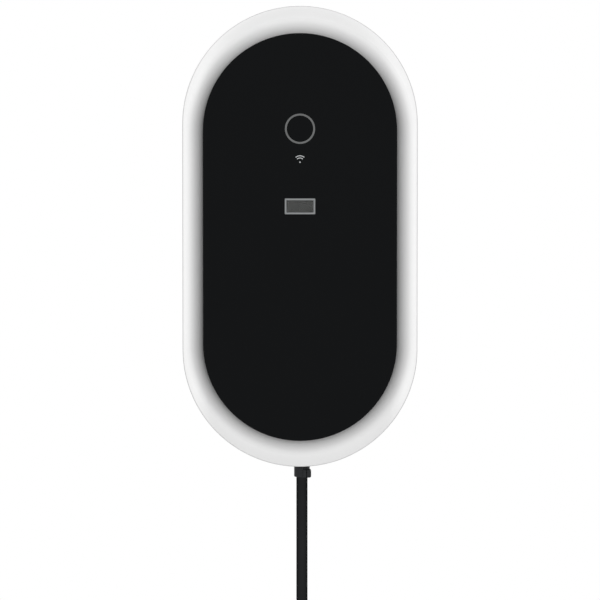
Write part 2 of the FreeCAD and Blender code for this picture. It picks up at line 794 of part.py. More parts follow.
def display_module():
    """The display itself: a glass that reaches up behind the window, on a wider tray."""
    body = new_body("display_module")
    tray_front = f"({panel_back} - bezel_lip_thickness - 2 * seat_gap)"
    tray = new_sketch(body, "tray", "XZ_Plane", tray_front)
    half = "(display_width / 2 + module_margin)"
    add_rectangle(tray, f"-1 * {half}", "display_z - display_height / 2 - module_margin",
                  half, "display_z + display_height / 2 + module_margin")
    pad(body, tray, "module_thickness", reverse=True)
    glass = new_sketch(body, "glass", "XZ_Plane", tray_front)
    inset = "(display_line + 2 * bezel_fit)"
    add_rectangle(glass, f"{inset} - display_width / 2", f"display_z - display_height / 2 + {inset}",
                  f"display_width / 2 - {inset}", f"display_z + display_height / 2 - {inset}")
    pad(body, glass, f"{panel_front} - window_recess - window_thickness - seat_gap - {tray_front}", "glass_pad")


def panel_carrier():
    body = new_body("panel_carrier")
    plate = new_sketch(body, "plate", "XZ_Plane", "carrier_depth")
    add_stadium(plate, f"({panel_radius} - carrier_inset)", panel_offset)
    pad(body, plate, "carrier_thickness")
    posts = new_sketch(body, "posts", "XZ_Plane", "carrier_depth + carrier_thickness / 2")
    add_circles(posts, interface_screw_places(), "post_radius")
    pad(body, posts, f"carrier_depth + carrier_thickness / 2 - {interface_face} - seat_gap",
        "post_pad", reverse=True)
    rim = "(display_width / 2 + module_margin + wall)"
    stage = new_sketch(body, "stage", "XZ_Plane", "carrier_depth + carrier_thickness / 2")
    add_rectangle(stage, f"-1 * {rim}", "display_z - display_height / 2 - module_margin - wall",
                  rim, "display_z + display_height / 2 + module_margin + wall")
    pad(body, stage, f"{panel_back} - bezel_lip_thickness - 3 * seat_gap - module_thickness"
        " - carrier_depth - carrier_thickness / 2", "stage_pad")
    eyes = new_sketch(body, "button_hole", "XZ_Plane", "carrier_depth")
    add_circles(eyes, [("0", "ring_z")], "ring_outer_radius + ring_flange")
    pocket(body, eyes, "2 * carrier_thickness", "button_cut")
    well = new_sketch(body, "well", "XZ_Plane", "carrier_depth")
    add_rectangle(well, "-1 * display_width / 2", "display_z - display_height / 2",
                  "display_width / 2", "display_z + display_height / 2")
    pocket(body, well, "4 * carrier_thickness", "well_cut")
    lower = new_sketch(body, "lower_opening", "XZ_Plane", "carrier_depth")
    add_rectangle(lower, "-1 * interface_width / 2", f"-1 * {panel_offset}",
                  "interface_width / 2", "-1 * interface_low")
    pocket(body, lower, "2 * carrier_thickness", "lower_cut")
    holes = new_sketch(body, "holes", "XZ_Plane", "interface_depth")
    add_circles(holes, carrier_screw_places() + interface_screw_places(), "small_screw_shank + pilot_fit")
    pocket(body, holes, "4 * carrier_thickness", "hole_cut")


def reader_antenna():
    """Flat loop behind the panel that reads a card."""
    body = new_body("reader_antenna")
    loop = new_sketch(body, "loop", "XZ_Plane", f"{panel_back} - seat_gap")
    for inset in ("0", "antenna_line"):
        add_rectangle(loop, f"{inset} - antenna_width / 2", f"antenna_z - antenna_height / 2 + {inset}",
                      f"antenna_width / 2 - {inset}", f"antenna_z + antenna_height / 2 - {inset}")
    pad(body, loop, "antenna_thickness", reverse=True)


def interface_board():
    body = new_body("interface_board")
    plate = new_sketch(body, "plate", "XZ_Plane", "interface_depth")
    add_rectangle(plate, "-1 * interface_width / 2", "interface_low", "interface_width / 2", "interface_high")
    pad(body, plate, "board_thickness")
    chips = new_sketch(body, "chips", "XZ_Plane", "interface_depth")
    for across, up, size in ((-0.23, 0.69, 1.3), (-0.25, 0.41, 1), (0.25, 0.78, 0.9), (-0.04, 0.2, 0.7)):
        x, half = f"{across} * interface_width", f"{size} * chip_half"
        z = f"interface_low + {up} * (interface_high - interface_low)"
        add_rectangle(chips, f"{x} - {half}", f"{z} - {half}", f"{x} + {half}", f"{z} + {half}")
    pad(body, chips, "board_thickness", "chip_pad", reverse=True)
    plug = new_sketch(body, "header", "XZ_Plane", "interface_depth")
    add_header(plug)
    pad(body, plug, "plug_in_height", "header_pad", reverse=True)
    holes = new_sketch(body, "holes", "XZ_Plane", "interface_depth")
    add_circles(holes, interface_screw_places(), "small_screw_shank + pilot_fit")
    pocket(body, holes, "2 * board_thickness", "hole_cut")


def add_header(sketch):
    add_rectangle(sketch, "ribbon_x - ribbon_width / 2 - wall / 2", "ribbon_z - wall",
                  "ribbon_x + ribbon_width / 2 + wall / 2", "ribbon_z + wall")


def interface_screws():
    screws("interface_screws", "XZ_Plane", interface_screw_places(), "interface_depth - seat_gap",
           "small_screw_head", "small_screw_shank", "front", "small_screw_head_height", "small_screw_length")


def carrier_screws():
    screws("carrier_screws", "XZ_Plane", carrier_screw_places(), "carrier_depth - seat_gap",
           "small_screw_head", "small_screw_shank", "front", "small_screw_head_height", "small_screw_length")


def power_board_screws():
    screws("power_board_screws", "XZ_Plane", power_screw_places(), power_face,
           "small_screw_head", "small_screw_shank", "back", "small_screw_head_height", "small_screw_length")


def status_leds():
    body = new_body("status_leds")
    middle = "(ring_outer_radius - ring_line / 2)"
    face = new_sketch(body, "first", "XZ_Plane", f"{interface_face} + seat_gap")
    add_rectangle(face, "-1 * led_size / 2", f"ring_z + {middle} - led_size / 2",
                  "led_size / 2", f"ring_z + {middle} + led_size / 2")
    first = pad(body, face, "led_height")
    axis = new_sketch(body, "axis", "XY_Plane", "ring_z")
    pattern = body.newObject("PartDesign::PolarPattern", "status_leds_ring")
    pattern.Originals = [first]
    pattern.Axis = (axis, ["V_Axis"])
    pattern.Angle = 360
    pattern.setExpression("Occurrences", bound("led_count"))
    body.Tip = pattern


def power_board():
    body = new_body("power_board")
    plate = new_sketch(body, "plate", "XZ_Plane", "power_depth")
    add_rectangle(plate, "-1 * power_width / 2", "power_low", "power_width / 2", "power_high")
    pad(body, plate, "board_thickness")
    header = new_sketch(body, "header", "XZ_Plane", "power_depth")
    add_header(header)
    pad(body, header, "board_thickness + plug_in_height", "header_pad")
    caps = new_sketch(body, "capacitors", "XZ_Plane", "power_depth")
    add_circles(caps, [("0", f"supply_z + capacitor_shift + {k} * capacitor_pitch / 2") for k in (1, -1)],
                "capacitor_radius")
    pad(body, caps, "board_thickness + capacitor_tall", "capacitor_pad")
    holes = new_sketch(body, "holes", "XZ_Plane", "power_depth")
    add_circles(holes, power_screw_places(), "small_screw_shank + pilot_fit")
    pocket(body, holes, "2 * board_thickness", "hole_cut")


def block(name, x, z, width, height, tall, round_size="1"):
    """A moulded component that stands on the power board."""
    body = new_body(name)
    foot = new_sketch(body, "foot", "XZ_Plane", power_face)
    add_rectangle(foot, f"{x} - {width} / 2", f"{z} - {height} / 2", f"{x} + {width} / 2", f"{z} + {height} / 2")
    pad(body, foot, tall)
    dress(body, "Fillet", round_size, edge_at("Y", -number(f"{power_face} + {tall}")), "edge")
    return body


def pole_places():
    return [f"{i} * pole_pitch" for i in range(-2, 3)]


def terminal_block(name, z, width, height, tall, entry_side):
    """Five-pole terminal with a wire entry per pole on one side and a screw shaft on top."""
    body = block(name, "0", z, width, height, tall)
    face = f"({z} + {entry_side} * {height} / 2)"
    entries = new_sketch(body, "entries", "XY_Plane", face)
    add_circles(entries, [(x, f"-1 * ({power_face} + {tall} / 2)") for x in pole_places()], "pole_entry_radius")
    pocket(body, entries, "pole_entry_depth", "entry_cut", onward=entry_side < 0)
    shafts = new_sketch(body, "shafts", "XZ_Plane", f"{power_face} + {tall} / 2 + pole_entry_radius + wall / 2")
    add_circles(shafts, [(x, z) for x in pole_places()], "pole_screw_radius + pilot_fit")
    pocket(body, shafts, tall, "shaft_cut")
    return body


def terminal_screws():
    body = new_body("terminal_screws")
    for name, z, tall in (("supply", "supply_block_z", "supply_block_tall"),
                          ("output", "output_block_z", "output_block_tall")):
        ends = new_sketch(body, name, "XZ_Plane",
                          f"{power_face} + {tall} / 2 + pole_entry_radius + wall / 2")
        add_circles(ends, [(x, z) for x in pole_places()], "pole_screw_radius")
        pad(body, ends, "2 * pole_screw_radius", name + "_pad")


def power_relays():
    body = new_body("power_relays")
    foot = new_sketch(body, "feet", "XZ_Plane", power_face)
    for place in (1, -1):
        middle = f"(relay_z + {place} * (relay_height + relay_gap) / 2)"
        add_rectangle(foot, "relay_x - relay_width / 2", f"{middle} - relay_height / 2",
                      "relay_x + relay_width / 2", f"{middle} + relay_height / 2")
    pad(body, foot, "relay_tall")


def fault_sensor():
    """Block on the power board with a round way through it for the cable's wires."""
    body = new_body("fault_sensor")
    foot = new_sketch(body, "foot", "XZ_Plane", power_face)
    add_rectangle(foot, "gland_x - sensor_width / 2", "sensor_z - sensor_height / 2",
                  "gland_x + sensor_width / 2", "sensor_z + sensor_height / 2")
    pad(body, foot, "sensor_width")
    bore = new_sketch(body, "bore", "XY_Plane", "sensor_z - sensor_height / 2")
    add_circles(bore, [("gland_x", f"-1 * {sensor_depth}")], "sensor_bore_radius")
    pocket(body, bore, "sensor_height", "bore_cut")


def ribbon_cable():
    """Flat cable that bows between the headers of the two boards."""
    body = new_body("ribbon_cable")
    low = "(-1 * (power_depth + board_thickness + plug_in_height + seat_gap))"
    high = "(-1 * (interface_depth - plug_in_height - seat_gap))"
    half = f"(({low} - {high}) / 2)"
    radius = f"(({half} ^ 2 + ribbon_sag ^ 2) / (2 * ribbon_sag))"
    middle = f"(({low} + {high}) / 2)"
    centre = f"(ribbon_z + ribbon_sag - {radius})"
    outer = f"({centre} + sqrt(({radius} + ribbon_thickness) ^ 2 - {half} ^ 2))"
    strip = new_sketch(body, "strip", "YZ_Plane", "ribbon_x")
    add_outline(strip, [(low, "ribbon_z"), (low, outer, middle, centre, "left"),
                        (high, outer), (high, "ribbon_z", middle, centre, "right")])
    pad(body, strip, "ribbon_width", middle=True)


def supply_grommet():
    """Rubber grommet in the supply cable's way through the back wall."""
    body = new_body("supply_grommet")
    section = new_sketch(body, "section", "XY_Plane", "entry_z", "entry_x")
    neck = "(entry_hole_radius - grommet_fit)"
    lip = "(entry_hole_radius + entry_recess)"
    add_outline(section, [
        ("entry_bore_radius", "-1 * grommet_fit"),
        ("entry_recess_radius - grommet_fit", "-1 * grommet_fit"),
        ("entry_recess_radius - grommet_fit", "grommet_fit - entry_recess"),
        (neck, "grommet_fit - entry_recess"),
        (neck, "-1 * entry_boss_depth - grommet_fit"), (lip, "-1 * entry_boss_depth - grommet_fit"),
        (lip, "-1 * entry_boss_depth - entry_recess"), (neck, "-1 * entry_boss_depth - entry_recess"),
        ("entry_bore_radius + entry_recess", "-1 * entry_nose_depth"),
        ("entry_bore_radius", "-1 * entry_nose_depth"),
    ])
    turn(body, section)


def gland_body():
    """Turned cable entry: threaded shank through the wall, a flange outside it and a sleeve below."""
    body = new_body("gland_body")
    section = new_sketch(body, "section", "XZ_Plane", "gland_depth", "gland_x")
    bore = "(cable_diameter / 2 + cable_fit)"
    seal = "(gland_seal_radius + cable_fit)"
    add_outline(section, [
        (bore, "-1 * gland_end"), ("gland_sleeve_radius", "-1 * gland_end"),
        ("gland_sleeve_radius", "-1 * gland_neck_end"), ("gland_collar_radius", "-1 * gland_neck_end"),
        ("gland_collar_radius", "-1 * gland_flange_end"), ("gland_flange_radius", "-1 * gland_flange_end"),
        ("gland_flange_radius", "-1 * (gland_seat + seat_gap)"),
        ("gland_shank_radius", "-1 * (gland_seat + seat_gap)"),
        ("gland_shank_radius", "-1 * gland_top"), (seal, "-1 * gland_top"),
        (seal, "-1 * (gland_top + gland_seal_length)"), (bore, "-1 * (gland_top + gland_seal_length)"),
    ])
    turn(body, section)


def gland_seal():
    body = new_body("gland_seal")
    ring = new_sketch(body, "ring", "XY_Plane", "-1 * (gland_top + gland_seal_length - seat_gap)")
    places = [("gland_x", "-1 * gland_depth")]
    add_circles(ring, places, "gland_seal_radius")
    add_circles(ring, places, "cable_diameter / 2 + cable_fit")
    pad(body, ring, "gland_seal_length - seat_gap")


def gland_nut():
    body = new_body("gland_nut")
    hexagon = new_sketch(body, "hexagon", "XY_Plane", "seat_gap - gland_pad_z")
    corner = "(nut_across / (2 * cos(30)))"
    points = [(f"gland_x + {corner} * {math.cos(math.radians(a)):.6f}",
               f"{corner} * {math.sin(math.radians(a)):.6f} - gland_depth") for a in range(0, 360, 60)]
    add_outline(hexagon, points)
    add_circles(hexagon, [("gland_x", "-1 * gland_depth")], "gland_shank_radius + gland_shank_fit")
    pad(body, hexagon, "nut_height")


def clamp_collar():
    """Split collar round the gland's sleeve, closed by a screw sunk in its two ears."""
    body = new_body("clamp_collar")
    ring = new_sketch(body, "ring", "XY_Plane", "-1 * gland_end")
    places = [("gland_x", "-1 * gland_depth")]
    add_circles(ring, places, "gland_collar_radius")
    pad(body, ring, "gland_end - collar_top")
    dress(body, "Fillet", "collar_round", edge_at("Z", -number("gland_end")), "foot")
    ears = new_sketch(body, "ears", "XZ_Plane", "gland_depth", "gland_x")
    corner = "lug_right - lug_round"
    add_outline(ears, [
        ("lug_left", "-1 * lug_bottom"),
        (corner, "-1 * lug_bottom", corner, "lug_round - lug_bottom", "left"),
        ("lug_right", "lug_round - lug_bottom"),
        ("lug_right", "-1 * lug_top - lug_round", corner, "-1 * lug_top - lug_round", "left"),
        (corner, "-1 * lug_top"), ("lug_left", "-1 * lug_top"),
    ])
    pad(body, ears, "lug_reach", "ear_pad")
    bore = new_sketch(body, "bore", "XY_Plane", "-1 * gland_end")
    add_circles(bore, places, "gland_sleeve_radius + collar_fit")
    pocket(body, bore, "gland_end - collar_top", "bore_cut")
    slit = new_sketch(body, "slit", "XY_Plane", "-1 * gland_end")
    add_rectangle(slit, "gland_x + lug_slit_x - lug_slit / 2", "-1 * gland_depth - lug_reach",
                  "gland_x + lug_slit_x + lug_slit / 2", "-1 * gland_depth")
    pocket(body, slit, "gland_end - collar_top", "slit_cut")
    hole = new_sketch(body, "screw_hole", "YZ_Plane", "gland_x")
    add_circles(hole, [clamp_screw_place()], "clamp_screw_radius + screw_fit")
    pocket(body, hole, "lug_reach", "screw_cut")
    sink = new_sketch(body, "head_hole", "YZ_Plane", "gland_x + lug_right - clamp_head_length")
    add_circles(sink, [clamp_screw_place()], "clamp_head_radius + screw_fit")
    pocket(body, sink, "2 * clamp_head_length", "head_cut")


def clamp_screw_place():
    return ("-1 * gland_depth - (gland_collar_radius + lug_reach) / 2",
            "-1 * (lug_top + lug_bottom) / 2")


def clamp_screw():
    body = new_body("clamp_screw")
    seat = "(gland_x + lug_right - clamp_head_length + seat_gap)"
    head = new_sketch(body, "head", "YZ_Plane", seat)
    add_circles(head, [clamp_screw_place()], "clamp_head_radius")
    pad(body, head, "clamp_head_length - seat_gap")
    shank = new_sketch(body, "shank", "YZ_Plane", seat)
    add_circles(shank, [clamp_screw_place()], "clamp_screw_radius")
    pad(body, shank, "lug_right - lug_left - clamp_head_length", "shank", reverse=True)


def rounded_route(points, label):
    """A wire of straight runs joined by tangent arcs, each as large as its two runs allow."""
    points = [FreeCAD.Vector(*p) for p in points]
    edges = []
    radii = []
    at = points[0]
    for before, here, after in zip(points, points[1:], points[2:]):
        to_here = (here - before).normalize()
        onward = (after - here).normalize()
        half_turn = to_here.getAngle(onward) / 2
        reach = 0.45 * min((here - before).Length, (after - here).Length)
        start, stop = here - to_here * reach, here + onward * reach
        toward = (onward - to_here).normalize()
        radius = reach / math.tan(half_turn)
        middle = here + toward * (radius / math.cos(half_turn) - radius)
        edges.append(Part.LineSegment(at, start).toShape())
        edges.append(Part.Arc(start, middle, stop).toShape())
        radii.append(round(radius, 1))
        at = stop
    edges.append(Part.LineSegment(at, points[-1]).toShape())
    print(label, "radii", radii)
    return Part.Wire(edges)


def tube_shape(points, radius, label):
    """A round tube along a route, with its volume held against section times length."""
    route = rounded_route(points, label)
    way = FreeCAD.Vector(*points[1]) - FreeCAD.Vector(*points[0])
    ring = Part.Wire(Part.Circle(FreeCAD.Vector(*points[0]), way, radius).toShape())
    shape = route.makePipeShell([ring], True, False)
    expected = math.pi * radius ** 2 * route.Length
    if abs(shape.Volume - expected) > 0.002 * expected:
        raise RuntimeError(f"{label} is not a plain tube")
    print(label, "length", round(route.Length, 1))
    return shape


def cable_route():
    """Straight down out of the gland, then a gentle lead into the coil's upper right. The last
    three heights are taken from the coil's middle."""
    x, y, coil = number("gland_x"), -number("gland_depth"), number("coil_z")
    return [(x, y, -number("cable_top")), (x, y, coil + 119), (18.4, y, coil + 78.3), (48, y, coil + 48.6)]


def lead_route():
    """Out of the coil's front near its top, over and down into the plug."""
    x, y, coil = number("plug_x"), -number("plug_depth"), number("coil_z")
    return [(-4, -38, coil + 68), (22, -50, coil + 66), (44, -63, coil + 51), (57, -72, coil + 26),
            (x, y, coil - 3), (x, y, number("plug_top"))]


def charging_cable():
    """The cable's two open stretches: from the gland to the coil, and from the coil to the plug."""
    for name, route in (("charging_cable", cable_route()), ("plug_lead", lead_route())):
        whole = doc.addObject("Part::Feature", name + "_whole")
        whole.Shape = tube_shape(route, number("cable_diameter / 2"), name)
        tool = coil_torus(name + "_end")
        cut = add_part("Part::Cut", name)
        cut.Base = whole
        cut.Tool = tool


def coil_torus(name):
    torus = doc.addObject("Part::Torus", name)
    torus.setExpression("Radius1", bound("coil_radius"))
    torus.setExpression("Radius2", bound("bundle_radius"))
    torus.Placement = FreeCAD.Placement(FreeCAD.Vector(), FreeCAD.Rotation(FreeCAD.Vector(1, 0, 0), 90))
    torus.setExpression("Placement.Base.x", bound("coil_x"))
    torus.setExpression("Placement.Base.y", bound("-1 * gland_depth"))
    torus.setExpression("Placement.Base.z", bound("coil_z"))
    return torus


def cable_coil():
    torus = coil_torus("cable_coil")
    torus.Label = "cable_coil"
    PARTS.append(torus)


def cable_straps():
    """Three hook-and-loop straps that tie the coil's turns together."""
    straps = []
    for angle in (100, 200, 340):
        outer = strap_cylinder(angle, "bundle_radius + strap_gap + strap_thickness", f"strap_out_{angle}")
        inner = strap_cylinder(angle, "bundle_radius + strap_gap", f"strap_in_{angle}")
        strap = doc.addObject("Part::Cut", f"strap_{angle}")
        strap.Base = outer
        strap.Tool = inner
        straps.append(strap)
    group = add_part("Part::Compound", "cable_straps")
    group.Links = straps


def strap_cylinder(angle, radius, name):
    """A cylinder across the coil at one angle, its axis along the turns."""
    cylinder = doc.addObject("Part::Cylinder", name)
    cylinder.setExpression("Radius", bound(radius))
    cylinder.setExpression("Height", bound("strap_width"))
    way = FreeCAD.Vector(-math.sin(math.radians(angle)), 0, math.cos(math.radians(angle)))
    cylinder.Placement = FreeCAD.Placement(FreeCAD.Vector(), FreeCAD.Rotation(FreeCAD.Vector(0, 0, 1), way))
    out_x, out_z = f"cos({angle})", f"sin({angle})"
    cylinder.setExpression("Placement.Base.x", bound(
        f"coil_x + coil_radius * {out_x} + strap_width / 2 * {out_z}"))
    cylinder.setExpression("Placement.Base.y", bound("-1 * gland_depth"))
    cylinder.setExpression("Placement.Base.z", bound(
        f"coil_z + coil_radius * {out_z} - strap_width / 2 * {out_x}"))
    return cylinder


def cable_wires():
    """The cable's five wires, from the jacket's end through the sensor to the output terminal."""
    x, y = number("gland_x"), -number("gland_depth")
    ring = number("wire_ring")
    run, rise = number("wire_run"), number("wire_rise")
    sensor_y = -number(sensor_depth)
    sensor_z = number("sensor_z")
    entry_y = -number(f"{power_face} + output_block_tall / 2")
    entry_z = number("output_block_z - output_block_height / 2")
    start_z = -number("cable_top - jacket_fit")
    pieces = []
    for place in range(5):
        pitch = number(f"{place - 2} * pole_pitch")
        angle = math.radians(number(f"wire_start + wire_step * {place}"))
        side, front = ring * math.cos(angle), ring * math.sin(angle) + ring / 2
        pieces.append(tube_shape([
            (x + side, y + front, start_z), (x + side, y + front, start_z + run),
            (x + side + pitch / 4, (y + sensor_y) / 2 + front, (start_z + entry_z) / 2 + rise),
            (pitch, entry_y - number("wire_bow"), entry_z - run), (pitch, entry_y, entry_z + number("wire_in")),
        ], number("wire_radius"), f"wire {place + 1}"))
    group = add_part("Part::Feature", "cable_wires")
    group.Shape = Part.makeCompound(pieces)


def plug_boot():
    """Tapered rubber sleeve with bending ribs where the cable enters the plug."""
    body = new_body("plug_boot")
    section = new_sketch(body, "section", "XZ_Plane", "plug_depth", "plug_x")
    bore = "(cable_diameter / 2 + cable_fit)"
    points = [(bore, "plug_top - boot_bore"), (bore, "plug_top")]
    for rib in range(SIZES["boot_ribs"]):
        for share in (0, SIZES["rib_share"]):
            points.append((boot_edge(rib + share), boot_level(rib + share)))
        foot = f"{boot_edge(rib + SIZES['rib_share'])} - rib_height"
        points += [(foot, boot_level(rib + SIZES["rib_share"])), (foot, boot_level(rib + 1))]
    points += [("neck_radius", "plug_top - boot_length"), ("0", "plug_top - boot_length"),
               ("0", "plug_top - boot_bore")]
    add_outline(section, points)
    turn(body, section)


def boot_level(ribs):
    return f"(plug_top - boot_length * {ribs} / (boot_ribs + 1))"


def boot_edge(ribs):
    """The boot's radius that many ribs down, as it widens from the cable to the plug's neck."""
    return f"(boot_radius + (neck_radius - boot_radius) * {ribs} / (boot_ribs + 1))"


def plug_body():
    """Moulded handle and shroud: the handle is lofted, the shroud is round with a flat."""
    body = new_body("plug_body")
    levels = [("boot_length + seat_gap", "neck_radius", 0), ("boot_length + grip_length * 0.35", "grip_radius", 4),
              ("boot_length + grip_length * 0.75", "grip_radius + 1", 3),
              ("boot_length + grip_length + shoulder_length * 0.6", "shroud_radius - 3", 0),
              ("boot_length + grip_length + shoulder_length", "shroud_radius", 0)]
    sections = []
    for index, (down, radius, lean) in enumerate(levels):
        ring = new_sketch(body, f"level_{index}", "XY_Plane", f"plug_top - ({down})")
        add_circles(ring, [("plug_x", f"-1 * plug_depth - {lean}")], radius)
        sections.append(ring)
    loft = body.newObject("PartDesign::AdditiveLoft", "plug_body_loft")
    loft.Profile = sections[0]
    loft.Sections = sections[1:]
    body.Tip = loft
    top = "(plug_top - boot_length - grip_length - shoulder_length)"
    shroud = new_sketch(body, "shroud", "XY_Plane", top)
    add_circles(shroud, [("plug_x", "-1 * plug_depth")], "shroud_radius")
    pad(body, shroud, "shroud_length", "shroud_pad", reverse=True)
    end = f"({top} - shroud_length)"
    flat = new_sketch(body, "flat", "XY_Plane", end)
    add_rectangle(flat, "plug_x - shroud_radius - 1", "-1 * plug_depth - shroud_radius - 1",
                  "plug_x + shroud_radius + 1", "-1 * plug_depth - shroud_flat")
    pocket(body, flat, "shroud_length - wall", "flat_cut")
    recess = new_sketch(body, "recess", "XY_Plane", end)
    add_d_shape(recess, "shroud_radius - shroud_wall", "shroud_flat - shroud_wall")
    pocket(body, recess, "shroud_recess", "recess_cut")


def add_d_shape(sketch, radius, flat):
    """A round about the plug's axis with a flat towards the front."""
    half = f"sqrt(({radius}) ^ 2 - ({flat}) ^ 2)"
    low = f"-1 * plug_depth - ({flat})"
    add_outline(sketch, [(f"plug_x - {half}", low),
                         (f"plug_x + {half}", low, "plug_x", "-1 * plug_depth", "left")])


def plug_end():
    return "(plug_top - boot_length - grip_length - shoulder_length - shroud_length)"


def contact_places(kind):
    """Two small signal contacts in a row, and five power contacts below them."""
    rows = {"signal": [(-0.55, -0.9), (0.55, -0.9)],
            "power": [(-1, 0), (0, 0), (1, 0), (-0.5, 0.9), (0.5, 0.9)]}
    return [(f"plug_x + {x} * contact_pitch", f"{y} * contact_pitch - plug_depth") for x, y in rows[kind]]


def plug_insert():
    """The plug's face: a block with a flat and seven round wells."""
    body = new_body("plug_insert")
    floor = f"({plug_end()} + shroud_recess - seat_gap)"
    face = new_sketch(body, "face", "XY_Plane", floor)
    add_d_shape(face, "insert_radius", "insert_flat")
    pad(body, face, "insert_length", reverse=True)
    for kind, radius in (("power", "contact_radius"), ("signal", "pilot_contact_radius")):
        wells = new_sketch(body, kind, "XY_Plane", f"{floor} - insert_length")
        add_circles(wells, contact_places(kind), f"{radius} + contact_fit")
        pocket(body, wells, "contact_length + contact_fit", kind + "_cut")


def plug_contacts():
    body = new_body("plug_contacts")
    floor = f"({plug_end()} + shroud_recess - seat_gap - insert_length + contact_length)"
    for kind, radius in (("power", "contact_radius"), ("signal", "pilot_contact_radius")):
        tubes = new_sketch(body, kind, "XY_Plane", floor)
        add_circles(tubes, contact_places(kind), radius)
        add_circles(tubes, contact_places(kind), f"{radius} - contact_wall")
        pad(body, tubes, "contact_length - contact_recess", kind + "_pad", reverse=True)


def build():
    rear_housing()
    front_cover()
    housing_seal()
    cover_screws()
    front_panel()
    panel_tape()
    status_ring()
    start_button()
    button_switch()
    button_spring()
    display_bezel()
    display_window()
    display_module()
    panel_carrier()
    carrier_screws()
    reader_antenna()
    interface_board()
    interface_screws()
    status_leds()
    power_board()
    power_board_screws()
    terminal_block("supply_terminal", "supply_block_z", "supply_block_width",
                   "supply_block_height", "supply_block_tall", 1)
    terminal_block("output_terminal", "output_block_z", "output_block_width",
                   "output_block_height", "output_block_tall", -1)
    terminal_screws()
    power_relays()
    block("metering_module", "meter_x", "meter_z", "meter_width", "meter_height", "meter_tall")
    block("power_supply", "supply_x", "supply_z", "supply_width", "supply_height", "supply_tall")
    fault_sensor()
    ribbon_cable()
    supply_grommet()
    gland_body()
    gland_seal()
    gland_nut()
    clamp_collar()
    clamp_screw()
    charging_cable()
    cable_coil()
    cable_straps()
    cable_wires()
    plug_boot()
    plug_body()
    plug_insert()
    plug_contacts()


def check_and_write():
    doc.recompute()
    for item in doc.Objects:
        if "Invalid" in item.State or "Error" in item.State:
            raise RuntimeError(f"{item.Name} did not rebuild: {item.State}")
    os.makedirs("parts", exist_ok=True)
    for part in PARTS:
        if part.Shape.isNull() or not part.Shape.isValid():
            raise RuntimeError(f"{part.Label} has no sound shape")
        part.Shape.exportStep(f"parts/{part.Label}.step")
        box = part.Shape.BoundBox
        print(f"{part.Label}: {len(part.Shape.Solids)} solids, {part.Shape.Volume / 1000:.1f} cm3,"
              f" x {box.XMin:.1f} {box.XMax:.1f}, y {box.YMin:.1f} {box.YMax:.1f},"
              f" z {box.ZMin:.1f} {box.ZMax:.1f}")


build()
check_and_write()
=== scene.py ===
import bpy
import numpy as np
from math import atan2, cos, pi, radians, sin
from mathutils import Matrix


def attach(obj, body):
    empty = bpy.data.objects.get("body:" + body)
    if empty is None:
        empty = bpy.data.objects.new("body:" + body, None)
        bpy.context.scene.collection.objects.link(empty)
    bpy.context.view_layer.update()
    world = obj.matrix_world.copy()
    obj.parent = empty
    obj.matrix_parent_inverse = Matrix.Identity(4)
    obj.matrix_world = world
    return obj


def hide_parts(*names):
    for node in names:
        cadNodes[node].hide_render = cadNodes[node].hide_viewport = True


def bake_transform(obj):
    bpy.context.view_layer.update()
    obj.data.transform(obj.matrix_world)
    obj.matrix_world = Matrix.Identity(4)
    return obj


# Wall charging box for electric cars, with its attached cable. Blender works in metres. The
# dictionaries below are in millimetres where no note says otherwise.

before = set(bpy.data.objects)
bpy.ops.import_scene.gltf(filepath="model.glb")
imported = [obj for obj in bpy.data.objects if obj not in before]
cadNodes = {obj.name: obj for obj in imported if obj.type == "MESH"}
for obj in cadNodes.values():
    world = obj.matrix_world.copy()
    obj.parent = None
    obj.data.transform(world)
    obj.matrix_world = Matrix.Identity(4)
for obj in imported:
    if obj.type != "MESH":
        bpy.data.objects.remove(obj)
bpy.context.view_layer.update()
print("frame loaded,", len(cadNodes), "nodes")


# small helpers

def toLinear(hexColour):
    # each sRGB channel through the standard curve
    channels = np.array([int(hexColour[i:i + 2], 16) for i in (1, 3, 5)]) / 255
    linear = np.where(channels <= 0.04045, channels / 12.92, ((channels + 0.055) / 1.055) ** 2.4)
    return (*linear.tolist(), 1.0)


def addNode(tree, kind, inputs=None, **settings):
    # one node with its settings; an input is a value or another node's output
    node = tree.nodes.new("ShaderNode" + kind)
    for name, value in settings.items():
        setattr(node, name, value)
    for key, value in (inputs or {}).items():
        if isinstance(value, bpy.types.NodeSocket):
            tree.links.new(value, node.inputs[key])
        else:
            node.inputs[key].default_value = value
    return node


def emptyTree(block):
    # the node tree of a material or world, without the nodes it comes with
    block.use_nodes = True
    block.node_tree.nodes.clear()
    return block.node_tree


def addObject(name, data):
    # an object for its data, put into the scene
    thing = bpy.data.objects.new(name, data)
    bpy.context.collection.objects.link(thing)
    return thing


def perMetre(millimetres):
    # a texture's scale from the real size of its pattern
    return 1000 / millimetres


def perBand(millimetres):
    # a wave texture's scale from the distance between its bands: it draws 20 bands in two pi units
    return perMetre(millimetres) * 2 * pi / 20


def smooth(value):
    # nought below nought, one above one, and an S between
    value = np.clip(value, 0, 1)
    return value * value * (3 - 2 * value)


def tubeFaces(rows, columns, start, flip):
    # quads round a tube, whose points are numbered row by row from a given start, and a polygon at
    # each end
    row, column = [a.ravel() for a in np.meshgrid(np.arange(rows - 1), np.arange(columns),
                                                  indexing="ij")]
    low, high = row * columns, (row + 1) * columns
    after = (column + 1) % columns
    sides = np.stack([low + column, low + after, high + after, high + column], 1)
    ends = [np.arange(columns)[::-1], np.arange(columns) + (rows - 1) * columns]
    if flip:
        sides, ends = sides[:, ::-1], [end[::-1] for end in ends]
    return (sides + start).tolist() + [(end + start).tolist() for end in ends]


